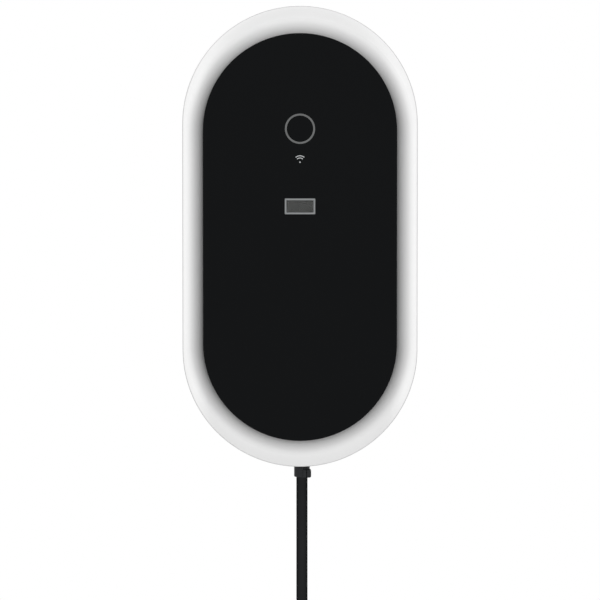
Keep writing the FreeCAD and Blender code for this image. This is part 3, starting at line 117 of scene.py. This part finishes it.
def makePiece(name, grids, material, flips=None, body="root", replaces=()):
    # One mesh of closed tubes, each a grid of points in millimetres, with rows along it and columns
    # round it. Its object stays at the origin, and with no body it is attached to none.
    faces, start = [], 0
    for grid, flip in zip(grids, flips or [False] * len(grids)):
        rows, columns = grid.shape[:2]
        faces += tubeFaces(rows, columns, start, flip)
        start += rows * columns
    points = np.concatenate([grid.reshape(-1, 3) for grid in grids]) / 1000
    mesh = bpy.data.meshes.new(name)
    mesh.from_pydata(points.tolist(), [], faces)
    mesh.validate()
    mesh.polygons.foreach_set("use_smooth", np.full(len(mesh.polygons), True))
    mesh.materials.append(material)
    piece = addObject(name, mesh)
    if body:
        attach(piece, body)
    if replaces:
        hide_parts(*replaces)
    return piece


# camera: before the housing, a little above its middle, and tipped down as in the photograph

cameraSetup = {
    "distance": 2600,       # from the cover's brim
    "brimDepth": 56,        # from the wall
    "rise": 26,             # above the housing's middle
    "mmPerPixel": 0.970,    # at the brim
    "pixels": 600,          # across the picture
    "middleAbove": 63.0,    # pixels from the picture's middle up to the housing's
    "sensor": 36,
}


def makeCamera(setup):
    # The lens is the sensor times the distance over the width that is seen. The tip's tangent is
    # the fall from the camera to where its axis meets the brim, over the distance.
    data = bpy.data.cameras.new("camera")
    data.sensor_width = setup["sensor"]
    data.lens = setup["sensor"] * setup["distance"] / (setup["mmPerPixel"] * setup["pixels"])
    camera = addObject("camera", data)
    camera.location = (0, -(setup["distance"] + setup["brimDepth"]) / 1000, setup["rise"] / 1000)
    tip = atan2(setup["rise"] + setup["middleAbove"] * setup["mmPerPixel"], setup["distance"])
    camera.rotation_euler = (pi / 2 - tip, 0, 0)
    bpy.context.scene.camera = camera


makeCamera(cameraSetup)
print("camera set")


# finishes

def newFinish(name):
    # a material with one plain shader, and the coordinates of the object it is on
    material = bpy.data.materials.new(name)
    tree = emptyTree(material)
    shader = addNode(tree, "BsdfPrincipled")
    addNode(tree, "OutputMaterial", {"Surface": shader.outputs[0]})
    place = addNode(tree, "TexCoord").outputs["Object"]
    return material, tree, shader, place


def tintBy(tree, shader, pattern, colours):
    # the colour goes from the first to the second as the pattern rises
    mixed = addNode(tree, "Mix", {0: pattern, 6: toLinear(colours[0]), 7: toLinear(colours[1])},
                    data_type="RGBA")
    tree.links.new(mixed.outputs[2], shader.inputs["Base Color"])


def reliefBy(tree, shader, pattern, depth, strength):
    # the pattern stands out as a bump of a depth in millimetres
    bump = addNode(tree, "Bump", {"Height": pattern, "Distance": depth / 1000,
                                  "Strength": strength})
    tree.links.new(bump.outputs[0], shader.inputs["Normal"])


def glossBy(tree, shader, pattern, spread, roughness):
    # the roughness goes from its low to its high value as the pattern rises over its spread
    gloss = addNode(tree, "MapRange", {"Value": pattern,
                                       "From Min": spread[0], "From Max": spread[1],
                                       "To Min": roughness[0], "To Max": roughness[1]})
    tree.links.new(gloss.outputs[0], shader.inputs["Roughness"])


mouldedSetup = {"cloudDetail": 3.0, "grainDetail": 2.0, "spread": (0.3, 0.7), "strength": 0.6}


def mouldedFinish(name, colours, roughness, grain, depth, specular=0.5, clouds=60):
    # moulded plastic or rubber: two close colours in soft clouds, and a fine eroded grain that
    # breaks up the gloss and stands as a bump
    setup = mouldedSetup
    material, tree, shader, place = newFinish(name)
    soft = addNode(tree, "TexNoise", {"Vector": place, "Scale": perMetre(clouds),
                                      "Detail": setup["cloudDetail"]}).outputs["Fac"]
    fine = addNode(tree, "TexNoise", {"Vector": place, "Scale": perMetre(grain),
                                      "Detail": setup["grainDetail"]}).outputs["Fac"]
    tintBy(tree, shader, soft, colours)
    glossBy(tree, shader, fine, setup["spread"], roughness)
    reliefBy(tree, shader, fine, depth, setup["strength"])
    shader.inputs["Specular IOR Level"].default_value = specular
    return material


metalSetup = {"detail": 4.0, "spread": (0.25, 0.75), "depth": 0.02, "strength": 0.5}


def metalFinish(name, colours, roughness, line, along):
    # bare or plated metal: fine lines left by tool or brush, drawn out where along is below one
    setup = metalSetup
    material, tree, shader, place = newFinish(name)
    lined = addNode(tree, "Mapping", {"Vector": place, "Scale": along})
    lines = addNode(tree, "TexNoise", {"Vector": lined.outputs[0], "Scale": perMetre(line),
                                       "Detail": setup["detail"]}).outputs["Fac"]
    tintBy(tree, shader, lines, colours)
    glossBy(tree, shader, lines, setup["spread"], roughness)
    reliefBy(tree, shader, lines, setup["depth"], setup["strength"])
    shader.inputs["Metallic"].default_value = 1.0
    return material


displaySetup = {
    "rows": 1.885,                      # from one row to the next
    "clouds": 9,
    "cloudDetail": 2.0,
    "colours": ("#232624", "#2c2e2c"),
    "roughness": 0.25,
}


def displayFinish(setup):
    # unlit display behind its pane: a grey-green field with faint level rows that clouds break up
    material, tree, shader, place = newFinish("liquid_crystal_glass")
    rows = addNode(tree, "TexWave", {"Vector": place, "Scale": perBand(setup["rows"]),
                                     "Distortion": 0.0}, bands_direction="Z")
    clouds = addNode(tree, "TexNoise", {"Vector": place, "Scale": perMetre(setup["clouds"]),
                                        "Detail": setup["cloudDetail"]})
    mixed = addNode(tree, "Math", {0: rows.outputs["Fac"], 1: clouds.outputs["Fac"]},
                    operation="MULTIPLY")
    tintBy(tree, shader, mixed.outputs[0], setup["colours"])
    shader.inputs["Roughness"].default_value = setup["roughness"]
    return material


paneSetup = {
    "haze": 4,
    "hazeDetail": 3.0,
    "colour": "#d4d6d4",
    "roughness": (0.16, 0.24),
    "index": 1.43,                      # lower than bare acrylic's, for its coat
}


def paneFinish(setup):
    # smoked acrylic pane with a coat against glare: a satin haze spreads a lamp's reflection
    material, tree, shader, place = newFinish("smoked_acrylic_pane")
    haze = addNode(tree, "TexNoise", {"Vector": place, "Scale": perMetre(setup["haze"]),
                                      "Detail": setup["hazeDetail"]})
    glossBy(tree, shader, haze.outputs["Fac"], (0, 1), setup["roughness"])
    shader.inputs["Base Color"].default_value = toLinear(setup["colour"])
    shader.inputs["Transmission Weight"].default_value = 1.0
    shader.inputs["IOR"].default_value = setup["index"]
    return material


boardSetup = {
    "brick": 6,                         # twice a tile's length and four times its height
    "trackShare": 0.03,
    "mask": ("#0f4a2c", "#13542f"),
    "track": "#2a7a48",
    "depth": 0.05,
    "strength": 0.4,
    "roughness": 0.32,
}


def boardFinish(setup):
    # glass-epoxy board under green solder mask: copper tracks show as paler lines 1.5 mm apart
    material, tree, shader, place = newFinish("solder_mask_board")
    turned = addNode(tree, "Mapping", {"Vector": place, "Rotation": (pi / 2, 0, 0)})
    tracks = addNode(tree, "TexBrick", {
        "Vector": turned.outputs[0], "Scale": perMetre(setup["brick"]),
        "Mortar Size": setup["trackShare"], "Color1": toLinear(setup["mask"][0]),
        "Color2": toLinear(setup["mask"][1]), "Mortar": toLinear(setup["track"])})
    tree.links.new(tracks.outputs["Color"], shader.inputs["Base Color"])
    reliefBy(tree, shader, tracks.outputs["Fac"], setup["depth"], setup["strength"])
    shader.inputs["Roughness"].default_value = setup["roughness"]
    return material


weaveSetup = {
    "threads": 1.781,                   # a real strap's are about 0.9 apart
    "colours": ("#0c0c0d", "#242528"),
    "depth": 0.3,
    "strength": 0.8,
    "roughness": 0.85,
    "sheen": 0.3,
}


def strapFinish(setup):
    # woven nylon strap: warp times weft, with threads drawn coarser than real so that they show
    material, tree, shader, place = newFinish("woven_nylon_strap")
    cloth = {"Vector": addNode(tree, "UVMap", uv_map="UVMap").outputs[0],
             "Scale": perBand(setup["threads"])}
    warp = addNode(tree, "TexWave", cloth, bands_direction="X")
    weft = addNode(tree, "TexWave", cloth, bands_direction="Y")
    weave = addNode(tree, "Math", {0: warp.outputs["Fac"], 1: weft.outputs["Fac"]},
                    operation="MULTIPLY").outputs[0]
    tintBy(tree, shader, weave, setup["colours"])
    reliefBy(tree, shader, weave, setup["depth"], setup["strength"])
    shader.inputs["Roughness"].default_value = setup["roughness"]
    shader.inputs["Sheen Weight"].default_value = setup["sheen"]
    return material


# White ASA shell, moulded against a spark-eroded tool: a matt skin with hardly any tone in it
whiteShell = mouldedFinish("moulded_white_shell", ("#dbdbdb", "#dedede"), (0.46, 0.56),
                           grain=0.9, depth=0.03, specular=0.0)
# Graphite ASA base with a coarser grain than the cover's
graphiteShell = mouldedFinish("moulded_graphite_base", ("#1d1f21", "#232527"), (0.5, 0.66),
                              grain=1.1, depth=0.06)
# Acrylic front, painted black from behind: deep, even and polished, so hardly any grain
blackPanel = mouldedFinish("back_painted_acrylic", ("#090a0b", "#0b0c0d"), (0.3, 0.34),
                           grain=2.5, depth=0.002, specular=0.05, clouds=90)
# Round cap in the same black, satin
blackCap = mouldedFinish("satin_black_cap", ("#08090a", "#0a0b0c"), (0.34, 0.42),
                         grain=1.2, depth=0.008, specular=0.05)
# Diffusing polycarbonate ring, unlit: milky grey
ringGuide = mouldedFinish("diffusing_polycarbonate", ("#545555", "#656666"), (0.3, 0.4),
                          grain=0.8, depth=0.01, specular=0.2, clouds=6)
# Black cable jacket of extruded rubber: dull and even
cableJacket = mouldedFinish("extruded_cable_jacket", ("#1f2021", "#262728"), (0.5, 0.62),
                            grain=1.0, depth=0.05, specular=0.0, clouds=25)
# Carbon-filled rubber of seals, grommet and boot: soft and dull, with a fine grain
blackRubber = mouldedFinish("moulded_black_rubber", ("#121314", "#191a1b"), (0.6, 0.75),
                            grain=0.8, depth=0.05, specular=0.25, clouds=18)
# Glass-filled nylon of gland, collar, carrier and relays: greyish, as fibres lie near its skin
blackNylon = mouldedFinish("glass_filled_nylon", ("#222324", "#2a2b2c"), (0.4, 0.58),
                           grain=0.7, depth=0.05, specular=0.12, clouds=15)
# Plug's grip with a soft-touch coat: a coarse even grain and little gloss
plugGrip = mouldedFinish("soft_touch_plug_grip", ("#151617", "#1b1c1e"), (0.5, 0.66),
                         grain=1.2, depth=0.08, specular=0.35, clouds=30)
# Grey nylon of terminals and modules: satin
greyNylon = mouldedFinish("moulded_grey_nylon", ("#7d8184", "#8a8e91"), (0.42, 0.55),
                          grain=0.8, depth=0.04, clouds=20)
# Closed-cell foam tape: small pores and no gloss
foamTape = mouldedFinish("closed_cell_foam_tape", ("#202122", "#2c2d2e"), (0.85, 0.95),
                         grain=0.5, depth=0.1, specular=0.2, clouds=4)
# Extruded brown covers of the wires: smooth, with a low gloss
wireCover = mouldedFinish("extruded_wire_cover", ("#4a3423", "#5b412b"), (0.35, 0.45),
                          grain=0.6, depth=0.02, clouds=9)
# Pale ink of the sign, screen printed: a thin matt film
signInk = mouldedFinish("screen_printed_ink", ("#a2a4a5", "#b4b6b7"), (0.5, 0.6),
                        grain=0.5, depth=0.01, specular=0.3, clouds=3)
# Anodised aluminium line round the display, brushed lengthwise
displayTrim = metalFinish("anodised_aluminium_trim", ("#7c7e7f", "#939596"), (0.4, 0.55),
                          line=0.5, along=(0.08, 1, 1))
# Rolled and drawn stainless steel of screws and spring: bright, with lines along the height
stainless = metalFinish("stainless_screw_steel", ("#a9aaab", "#c3c4c5"), (0.25, 0.4),
                        line=0.4, along=(1, 1, 0.3))
# Clamp screw in black oxide: dark, with a dull sheen
blackenedSteel = metalFinish("black_oxide_steel", ("#2a2a2b", "#343435"), (0.4, 0.55),
                             line=0.4, along=(0.3, 1, 1))
# Etched copper of the aerial: warm, and even both ways
copperLoop = metalFinish("etched_copper", ("#b06a45", "#c98259"), (0.3, 0.45),
                         line=0.5, along=(1, 1, 1))
# Drawn brass contacts, silver plated: pale and smooth, with lines along the pins
silveredBrass = metalFinish("silver_plated_brass", ("#b9b6ae", "#d2cfc6"), (0.2, 0.32),
                            line=0.4, along=(1, 1, 0.15))
displayGlass = displayFinish(displaySetup)
smokedPane = paneFinish(paneSetup)
solderMask = boardFinish(boardSetup)
strapWeave = strapFinish(weaveSetup)

finishOfNodes = [
    (whiteShell, ["front_cover"]),
    (graphiteShell, ["rear_housing"]),
    (blackPanel, ["front_panel"]),
    (blackCap, ["start_button"]),
    (ringGuide, ["status_ring", "status_leds"]),
    (displayTrim, ["display_bezel"]),
    (smokedPane, ["display_window"]),
    (displayGlass, ["display_module"]),
    (blackRubber, ["housing_seal", "supply_grommet", "gland_seal", "plug_boot"]),
    (blackNylon, ["panel_carrier", "button_switch", "power_relays", "fault_sensor", "gland_body",
                  "gland_nut", "clamp_collar", "plug_insert"]),
    (plugGrip, ["plug_body"]),
    (greyNylon, ["supply_terminal", "output_terminal", "metering_module", "power_supply",
                 "ribbon_cable"]),
    (foamTape, ["panel_tape"]),
    (wireCover, ["cable_wires"]),
    (solderMask, ["interface_board", "power_board"]),
    (stainless, ["cover_screws", "carrier_screws", "interface_screws", "power_board_screws",
                 "terminal_screws", "button_spring"]),
    (blackenedSteel, ["clamp_screw"]),
    (copperLoop, ["reader_antenna"]),
    (silveredBrass, ["plug_contacts"]),
    (strapWeave, ["cable_straps"]),
    (cableJacket, ["charging_cable", "plug_lead", "cable_coil"]),
]
for finish, names in finishOfNodes:
    for name in names:
        slots = cadNodes[name].data.materials
        if not slots:
            slots.append(finish)
        for index in range(len(slots)):
            slots[index] = finish
print("finishes given to the frame's nodes")


# the cable: one cord from the gland, down, round its coil and into the plug

cordSetup = {
    "diameter": 11.0,
    "length": 5.0,            # metres
    "gland": (1.9, -26, -236.0),    # where it comes out
    # from inside the gland down to the coil
    "down": [(1.9, -26, -208), (1.9, -26, -334), (1.9, -26, -378), (18.4, -18, -418.7)],
    # from the coil into the plug
    "lead": [(-4, -38, -429), (22, -50, -431), (44, -63, -446), (57, -72, -471), (62, -77, -500),
             (62, -77, -524)],
    "coilMiddle": (0, -26, -497),
    "coilRadius": 68,
    "enterAngle": 45,         # degrees from +X, where the first turn starts
    "leaveAngle": 108,
    "fullTurns": 10,
    "pointsPerTurn": 24,
    # where the turns lie in the bundle, (outward, towards the wall), from the wall to the front
    "slots": [(5.25, 13.6), (-5.25, 13.6), (-10.5, 4.55), (0, 4.55), (10.5, 4.55), (15.2, -4.55),
              (5.25, -4.55), (-5.25, -4.55), (-15.2, -4.55), (-10, -13.4), (0, -13.6), (6, -14.6)],
    "slotScale": 1.02,
    "shiftFrom": 0.8,         # the share of a turn after which a turn moves over to the next slot
    "splineOrder": 3,
    "stepsBetween": 4,        # from one point of the spline to the next
    "roundness": 6,
}


def coilPoints(setup):
    # The angle falls evenly. The turn keeps its slot in the bundle and, in the last fifth of each
    # turn, moves over to the next one on an S. The spline cuts its corners by an eighth of the
    # step's angle squared, so the radius is larger by that share.
    sweep = setup["fullTurns"] + ((setup["enterAngle"] - setup["leaveAngle"]) % 360) / 360
    turns = np.linspace(0, sweep, round(sweep * setup["pointsPerTurn"]) + 1)
    hair = 1e-9               # so that a whole turn isn't taken for a little less
    whole = np.minimum(np.floor(turns + hair).astype(int), len(setup["slots"]) - 2)
    share = smooth((turns - whole - setup["shiftFrom"]) / (1 - setup["shiftFrom"]))[:, None]
    slots = np.array(setup["slots"]) * setup["slotScale"]
    place = slots[whole] * (1 - share) + slots[whole + 1] * share
    angle = radians(setup["enterAngle"]) - 2 * pi * turns
    step = 2 * pi / setup["pointsPerTurn"]
    radius = (setup["coilRadius"] + place[:, 0]) * (1 + step * step / 8)
    middle = setup["coilMiddle"]
    return np.stack([middle[0] + radius * np.cos(angle), middle[1] + place[:, 1],
                     middle[2] + radius * np.sin(angle)], 1)


def makeCord(setup, finish):
    # a round section carried along a spline through the way down, the coil and the lead
    points = np.concatenate([setup["down"], coilPoints(setup), setup["lead"]])
    data = bpy.data.curves.new("charging_cord", "CURVE")
    data.dimensions = "3D"
    spline = data.splines.new("NURBS")
    spline.points.add(len(points) - 1)
    places = np.ones((len(points), 4))
    places[:, :3] = points / 1000
    spline.points.foreach_set("co", places.ravel())
    spline.order_u = setup["splineOrder"]
    spline.use_endpoint_u = True
    spline.resolution_u = setup["stepsBetween"]
    data.bevel_depth = setup["diameter"] / 2000
    data.bevel_resolution = setup["roundness"]
    data.use_fill_caps = True
    data.materials.append(finish)
    cord = addObject("charging_cord", data)
    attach(cord, "root")
    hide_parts("charging_cable", "plug_lead", "cable_coil")
    return cord


cord = makeCord(cordSetup, cableJacket)
print("cord laid")


# straps round the coil

strapSetup = {
    "angles": (100, 200, 340),    # degrees from +X, where they sit on the coil
    "inner": 21.9,
    "thickness": 1.4,
    "width": 16,
    "start": 20,                  # degrees from straight outward, where the winding begins
    "tail": 70,                   # degrees that the loose end lies over the first layer
    "rise": 0.5,                  # radians over which the band climbs on to the first layer
    "edge": 0.5,                  # the rounding of the band's edges, across it
    "edgeShare": 0.4,             # how much of the thickness stays upright at the edges
    "stepsRound": 120,
}


def strapBand(setup, angle):
    # A flat band wound once and a bit about the bundle: its radius rises over the angle of winding
    # by one thickness as it begins its second layer. Its section is a thin rounded rectangle.
    wind = np.linspace(0, 2 * pi + radians(setup["tail"]), setup["stepsRound"])
    lift = setup["thickness"] * smooth((wind - 2 * pi + setup["rise"]) / setup["rise"])
    half, thick = setup["width"] / 2, setup["thickness"] / 2
    flat, upright = half - setup["edge"], thick * setup["edgeShare"]
    section = np.array([(-half, -upright), (-flat, -thick), (flat, -thick), (half, -upright),
                        (half, upright), (flat, thick), (-flat, thick), (-half, upright)])
    radius = setup["inner"] + thick + lift[:, None] + section[None, :, 1]
    along = np.repeat(section[None, :, 0], len(wind), 0)
    turned = wind[:, None] + radians(setup["start"])
    a = radians(angle)
    middle = cordSetup["coilMiddle"]
    outward = cordSetup["coilRadius"] + radius * np.cos(turned)
    grid = np.stack([middle[0] + outward * cos(a) - along * sin(a),
                     middle[1] + radius * np.sin(turned),
                     middle[2] + outward * sin(a) + along * cos(a)], 2)
    girth = np.concatenate([[0], np.cumsum(np.hypot(*np.diff(section, axis=0).T))])
    uv = np.stack(np.broadcast_arrays((wind * setup["inner"])[:, None], girth[None, :]), 2)
    return grid, uv.reshape(-1, 2) / 1000


def makeStraps(setup, finish):
    # the bands at their angles, with the laid-out length and girth as the weave's map
    grids, maps = zip(*[strapBand(setup, angle) for angle in setup["angles"]])
    straps = makePiece("hook_and_loop_straps", grids, finish,
                       replaces=["cable_straps"])
    mesh = straps.data
    corners = np.zeros(len(mesh.loops), int)
    mesh.loops.foreach_get("vertex_index", corners)
    layer = mesh.uv_layers.new(name="UVMap")
    layer.data.foreach_set("uv", np.concatenate(maps)[corners].ravel())
    return straps


straps = makeStraps(strapSetup, strapWeave)
print("straps made")


# plain sign of a dot and two arcs under the light ring, printed in pale grey

signSetup = {
    "middle": (0, 71.6),    # across and up
    "face": 104.0,          # depth of the panel's front from the wall
    "gap": 0.005,           # from that face to the film's back
    "proud": 0.045,         # and to its front
    "radii": (4.0, 6.1),
    "line": 0.85,
    "halfAngle": 42,        # degrees to each side of straight up
    "steps": 28,
    "dot": 0.75,            # radius
}


def makeSign(setup, finish):
    # An arc is a film of ink: a flat rectangle of section, from the panel's face outwards, carried
    # round the arc's angle and closed at its ends. The dot is a disc: one rim at each depth.
    back, front = -setup["face"] - setup["gap"], -setup["face"] - setup["proud"]
    span = np.linspace(-setup["halfAngle"], setup["halfAngle"], setup["steps"])
    arc = np.radians(90 + span)[:, None]
    rim = np.linspace(0, 2 * pi, setup["steps"], endpoint=False)[None, :]
    parts = []
    for middle in setup["radii"]:
        inner, outer = middle - setup["line"] / 2, middle + setup["line"] / 2
        parts.append(([[outer, inner, inner, outer]], [[back, back, front, front]], arc))
    parts.append(([[setup["dot"]], [setup["dot"]]], [[back], [front]], rim))
    grids = []
    for radius, depth, angle in parts:
        x = setup["middle"][0] + np.array(radius) * np.cos(angle)
        z = setup["middle"][1] + np.array(radius) * np.sin(angle)
        grids.append(np.stack([x, np.array(depth) + 0 * x, z], 2))
    makePiece("printed_sign", grids, finish)


makeSign(signSetup, signInk)
print("sign printed")


# cover screws with six-lobed drives

screwSetup = {
    "sides": (1, -1),
    "heights": (90, -90),
    "depth": 46.5,            # from the wall
    "flank": 114,
    "headRadius": 3.7,
    "headLength": 1.2,
    "headEdge": [(0.5, 0.03), (0.15, 0.1), (0, 0.3)],    # in from the head's rim, and down
    "shankRadius": 1.9,
    "shankLength": 15,
    "tipRadius": 0.4,
    "tipLength": 1,
    "driveRadius": 1.75,
    "driveDepth": 0.9,
    "driveFloor": 0.9,        # share of the drive's radius
    "driveWall": [(0.94, 0.12), (1.04, 0.03)],           # shares of the radius, and down
    "lobes": 6,
    "lobe": 0.13,             # share of the drive's radius
    "stepsRound": 72,
}


def screwShape(setup):
    # Rows run from near the middle of the drive's floor out over the head and down the shank; the
    # drive's radius swings once a lobe by the lobe's share.
    angle = np.linspace(0, 2 * pi, setup["stepsRound"], endpoint=False)
    drive = setup["driveRadius"] * (1 + setup["lobe"] * np.cos(setup["lobes"] * angle))
    one = np.ones_like(angle)
    head, shank, tip = setup["headRadius"], setup["shankRadius"], setup["tipRadius"]
    rows = [(tip * one, setup["driveDepth"]), (setup["driveFloor"] * drive, setup["driveDepth"])]
    rows += [(share * drive, down) for share, down in setup["driveWall"]]
    rows += [((head - inwards) * one, down) for inwards, down in setup["headEdge"]]
    rows += [(head * one, setup["headLength"]), (shank * one, setup["headLength"]),
             (shank * one, setup["shankLength"]),
             (tip * one, setup["shankLength"] + setup["tipLength"])]
    radius = np.stack([reach for reach, _ in rows])
    height = np.repeat(np.array([-down for _, down in rows])[:, None], len(angle), 1)
    return radius, height, angle


def makeCoverScrews(setup, finish):
    # the screw's shape about an axis that points out of the flank, at each side and height
    radius, height, angle = screwShape(setup)
    places = [(side, level) for side in setup["sides"] for level in setup["heights"]]
    grids = [np.stack([side * (setup["flank"] + height), -setup["depth"] + radius * np.cos(angle),
                       level + radius * np.sin(angle)], 2) for side, level in places]
    makePiece("cover_screw_heads", grids, finish, flips=[side > 0 for side, _ in places],
              replaces=["cover_screws"])


makeCoverScrews(screwSetup, stainless)
print("cover screws made")


# spring under the button, wound between fixed depths; the real one shortens as the button goes in

springSetup = {
    "middle": (0, 103.4),  # across and up
    "foot": 86.2,          # depth of the first coil's wire from the wall
    "head": 101.5,         # and of the last coil's
    "radius": 6.2,
    "wire": 0.8,
    "turns": 5.5,
    "deadTurns": 0.75,     # closed at each end
    "deadClimb": 0.7,      # wires' thicknesses that each closed end climbs
    "stepsPerTurn": 28,
    "stepsRound": 10,
}


def makeSpring(setup, finish):
    # A round wire about the button's axis: the depth climbs little over the closed turns and evenly
    # between them; the wire's section lies in the plane through the axis.
    middle, wire = setup["middle"], setup["wire"]
    dead, turns, foot, head = [setup[key] for key in ("deadTurns", "turns", "foot", "head")]
    climb = setup["deadClimb"] * wire
    turn = np.linspace(0, turns, round(turns * setup["stepsPerTurn"]))
    depth = np.interp(turn, [0, dead, turns - dead, turns],
                      [foot, foot + climb, head - climb, head])
    angle = (2 * pi * turn)[:, None]
    girth = np.linspace(0, 2 * pi, setup["stepsRound"], endpoint=False)[None, :]
    radius = setup["radius"] + wire / 2 * np.cos(girth)
    grid = np.stack([middle[0] + radius * np.cos(angle), wire / 2 * np.sin(girth) - depth[:, None],
                     middle[1] + radius * np.sin(angle)], 2)
    spring = makePiece("wound_button_spring", [grid], finish, body=None,
                       replaces=["button_spring"])
    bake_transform(spring)


makeSpring(springSetup, stainless)
print("button spring wound")


# world, floor and lamps

white = (1, 1, 1, 1)

stageSetup = {
    "ambient": 0.03,
    "floorHeight": -1250,    # the box hangs on a wall, so the floor is well below its plug
    "floorRadius": 1500,
    "floorFade": 700,        # the floor is whole to here and fades out to its edge
    "floorPaint": "#f4f4f4",
    "floorGlow": 0.45,
    "floorDim": "#5c5c5c",   # the floor as it lights the object
    "floorSteps": 96,
}


def cameraSees(tree):
    # one where a camera, glossy or transmission ray looks, else nought
    path = addNode(tree, "LightPath").outputs
    both = addNode(tree, "Math", {0: path["Is Camera Ray"], 1: path["Is Glossy Ray"]},
                   operation="MAXIMUM")
    return addNode(tree, "Math", {0: both.outputs[0], 1: path["Is Transmission Ray"]},
                   operation="MAXIMUM").outputs[0]


def makeWorld(setup):
    # white where it is seen, and a faint even light elsewhere
    world = bpy.data.worlds.new("studio")
    bpy.context.scene.world = world
    tree = emptyTree(world)
    soft = addNode(tree, "Background", {"Color": white, "Strength": setup["ambient"]})
    seen = addNode(tree, "Background", {"Color": white, "Strength": 1.0})
    mixed = addNode(tree, "MixShader", {0: cameraSees(tree), 1: soft.outputs[0],
                                        2: seen.outputs[0]})
    addNode(tree, "OutputWorld", {"Surface": mixed.outputs[0]})


def floorFinish(setup):
    # pale matt floor: it takes the object's shadow, gives little light back to the object, and
    # fades out towards its edge and for a look from below
    material = bpy.data.materials.new("pale_floor")
    tree = emptyTree(material)
    place = addNode(tree, "TexCoord").outputs["Object"]
    away = addNode(tree, "VectorMath", {0: place}, operation="LENGTH")
    fade = addNode(tree, "MapRange", {
        "Value": away.outputs["Value"], "From Min": setup["floorFade"] / 1000,
        "From Max": setup["floorRadius"] / 1000, "To Min": 1.0, "To Max": 0.0},
        interpolation_type="SMOOTHSTEP")
    paint = addNode(tree, "BsdfDiffuse", {"Color": toLinear(setup["floorPaint"])})
    glow = addNode(tree, "Emission", {"Color": white, "Strength": setup["floorGlow"]})
    pale = addNode(tree, "AddShader", {0: paint.outputs[0], 1: glow.outputs[0]})
    dim = addNode(tree, "BsdfDiffuse", {"Color": toLinear(setup["floorDim"])})
    seen = addNode(tree, "MixShader", {0: cameraSees(tree), 1: dim.outputs[0], 2: pale.outputs[0]})
    below = addNode(tree, "NewGeometry").outputs["Backfacing"]
    whole = addNode(tree, "Math", {0: fade.outputs[0], 1: below},
                    operation="SUBTRACT", use_clamp=True)
    clear = addNode(tree, "BsdfTransparent")
    ends = addNode(tree, "MixShader", {0: whole.outputs[0], 1: clear.outputs[0],
                                       2: seen.outputs[0]})
    addNode(tree, "OutputMaterial", {"Surface": ends.outputs[0]})
    return material


def makeFloor(setup):
    # a flat disc: radius by angle
    angle = np.linspace(0, 2 * pi, setup["floorSteps"], endpoint=False)
    ring = setup["floorRadius"] / 1000
    points = np.stack([ring * np.cos(angle), ring * np.sin(angle), np.zeros_like(angle)], 1)
    mesh = bpy.data.meshes.new("studio_floor")
    mesh.from_pydata(points.tolist(), [], [list(range(len(angle)))])
    mesh.materials.append(floorFinish(setup))
    floor = addObject("studio_floor", mesh)
    floor.location = (0, 0, setup["floorHeight"] / 1000)


# Place, aim and size are in metres. Light is what the lamp lays on a surface that faces it, and
# glossy says whether it shows in a gloss.
lampSetup = {
    "lamp_front": {"place": (0.06, -3.0, 0.1), "aim": (0, 0, 0), "size": (0.4, 0.4),
                   "light": 0.76, "glossy": False},
    "lamp_above": {"place": (0, -2.1, 2.1), "aim": (0, 0, 0), "size": (0.5, 1.0),
                   "light": 0.28, "glossy": True},
    "lamp_below": {"place": (0, -2.2, -1.15), "aim": (0, 0, 0), "size": (0.5, 0.5),
                   "light": 0.20, "glossy": False},
    "lamp_back_left": {"place": (-1.05, 2.85, 0.6), "aim": (0, 0, -0.2), "size": (0.4, 1.2),
                       "light": 0.85, "glossy": False},
    "lamp_back_right": {"place": (1.05, 2.85, 0.6), "aim": (0, 0, -0.2), "size": (0.4, 1.2),
                        "light": 0.85, "glossy": False},
}


def makeLamps(lamps):
    # a lamp's power for a wanted light is pi squared times the distance squared
    for name, setup in lamps.items():
        data = bpy.data.lights.new(name, "AREA")
        data.shape = "RECTANGLE"
        data.size, data.size_y = setup["size"]
        offset = np.array(setup["aim"]) - np.array(setup["place"])
        away = float(np.linalg.norm(offset))
        data.energy = setup["light"] * pi * pi * away * away
        lamp = addObject(name, data)
        lamp.location = setup["place"]
        level = float(np.hypot(offset[0], offset[1]))
        lamp.rotation_euler = (atan2(level, -offset[2]), 0, atan2(-offset[0], offset[1]))
        lamp.visible_camera = False
        lamp.visible_glossy = setup["glossy"]
        lamp.visible_transmission = False    # the display is lit by the white world alone


makeWorld(stageSetup)
makeFloor(stageSetup)
makeLamps(lampSetup)
print("stage lit")

bpy.context.scene.view_settings.view_transform = "Standard"
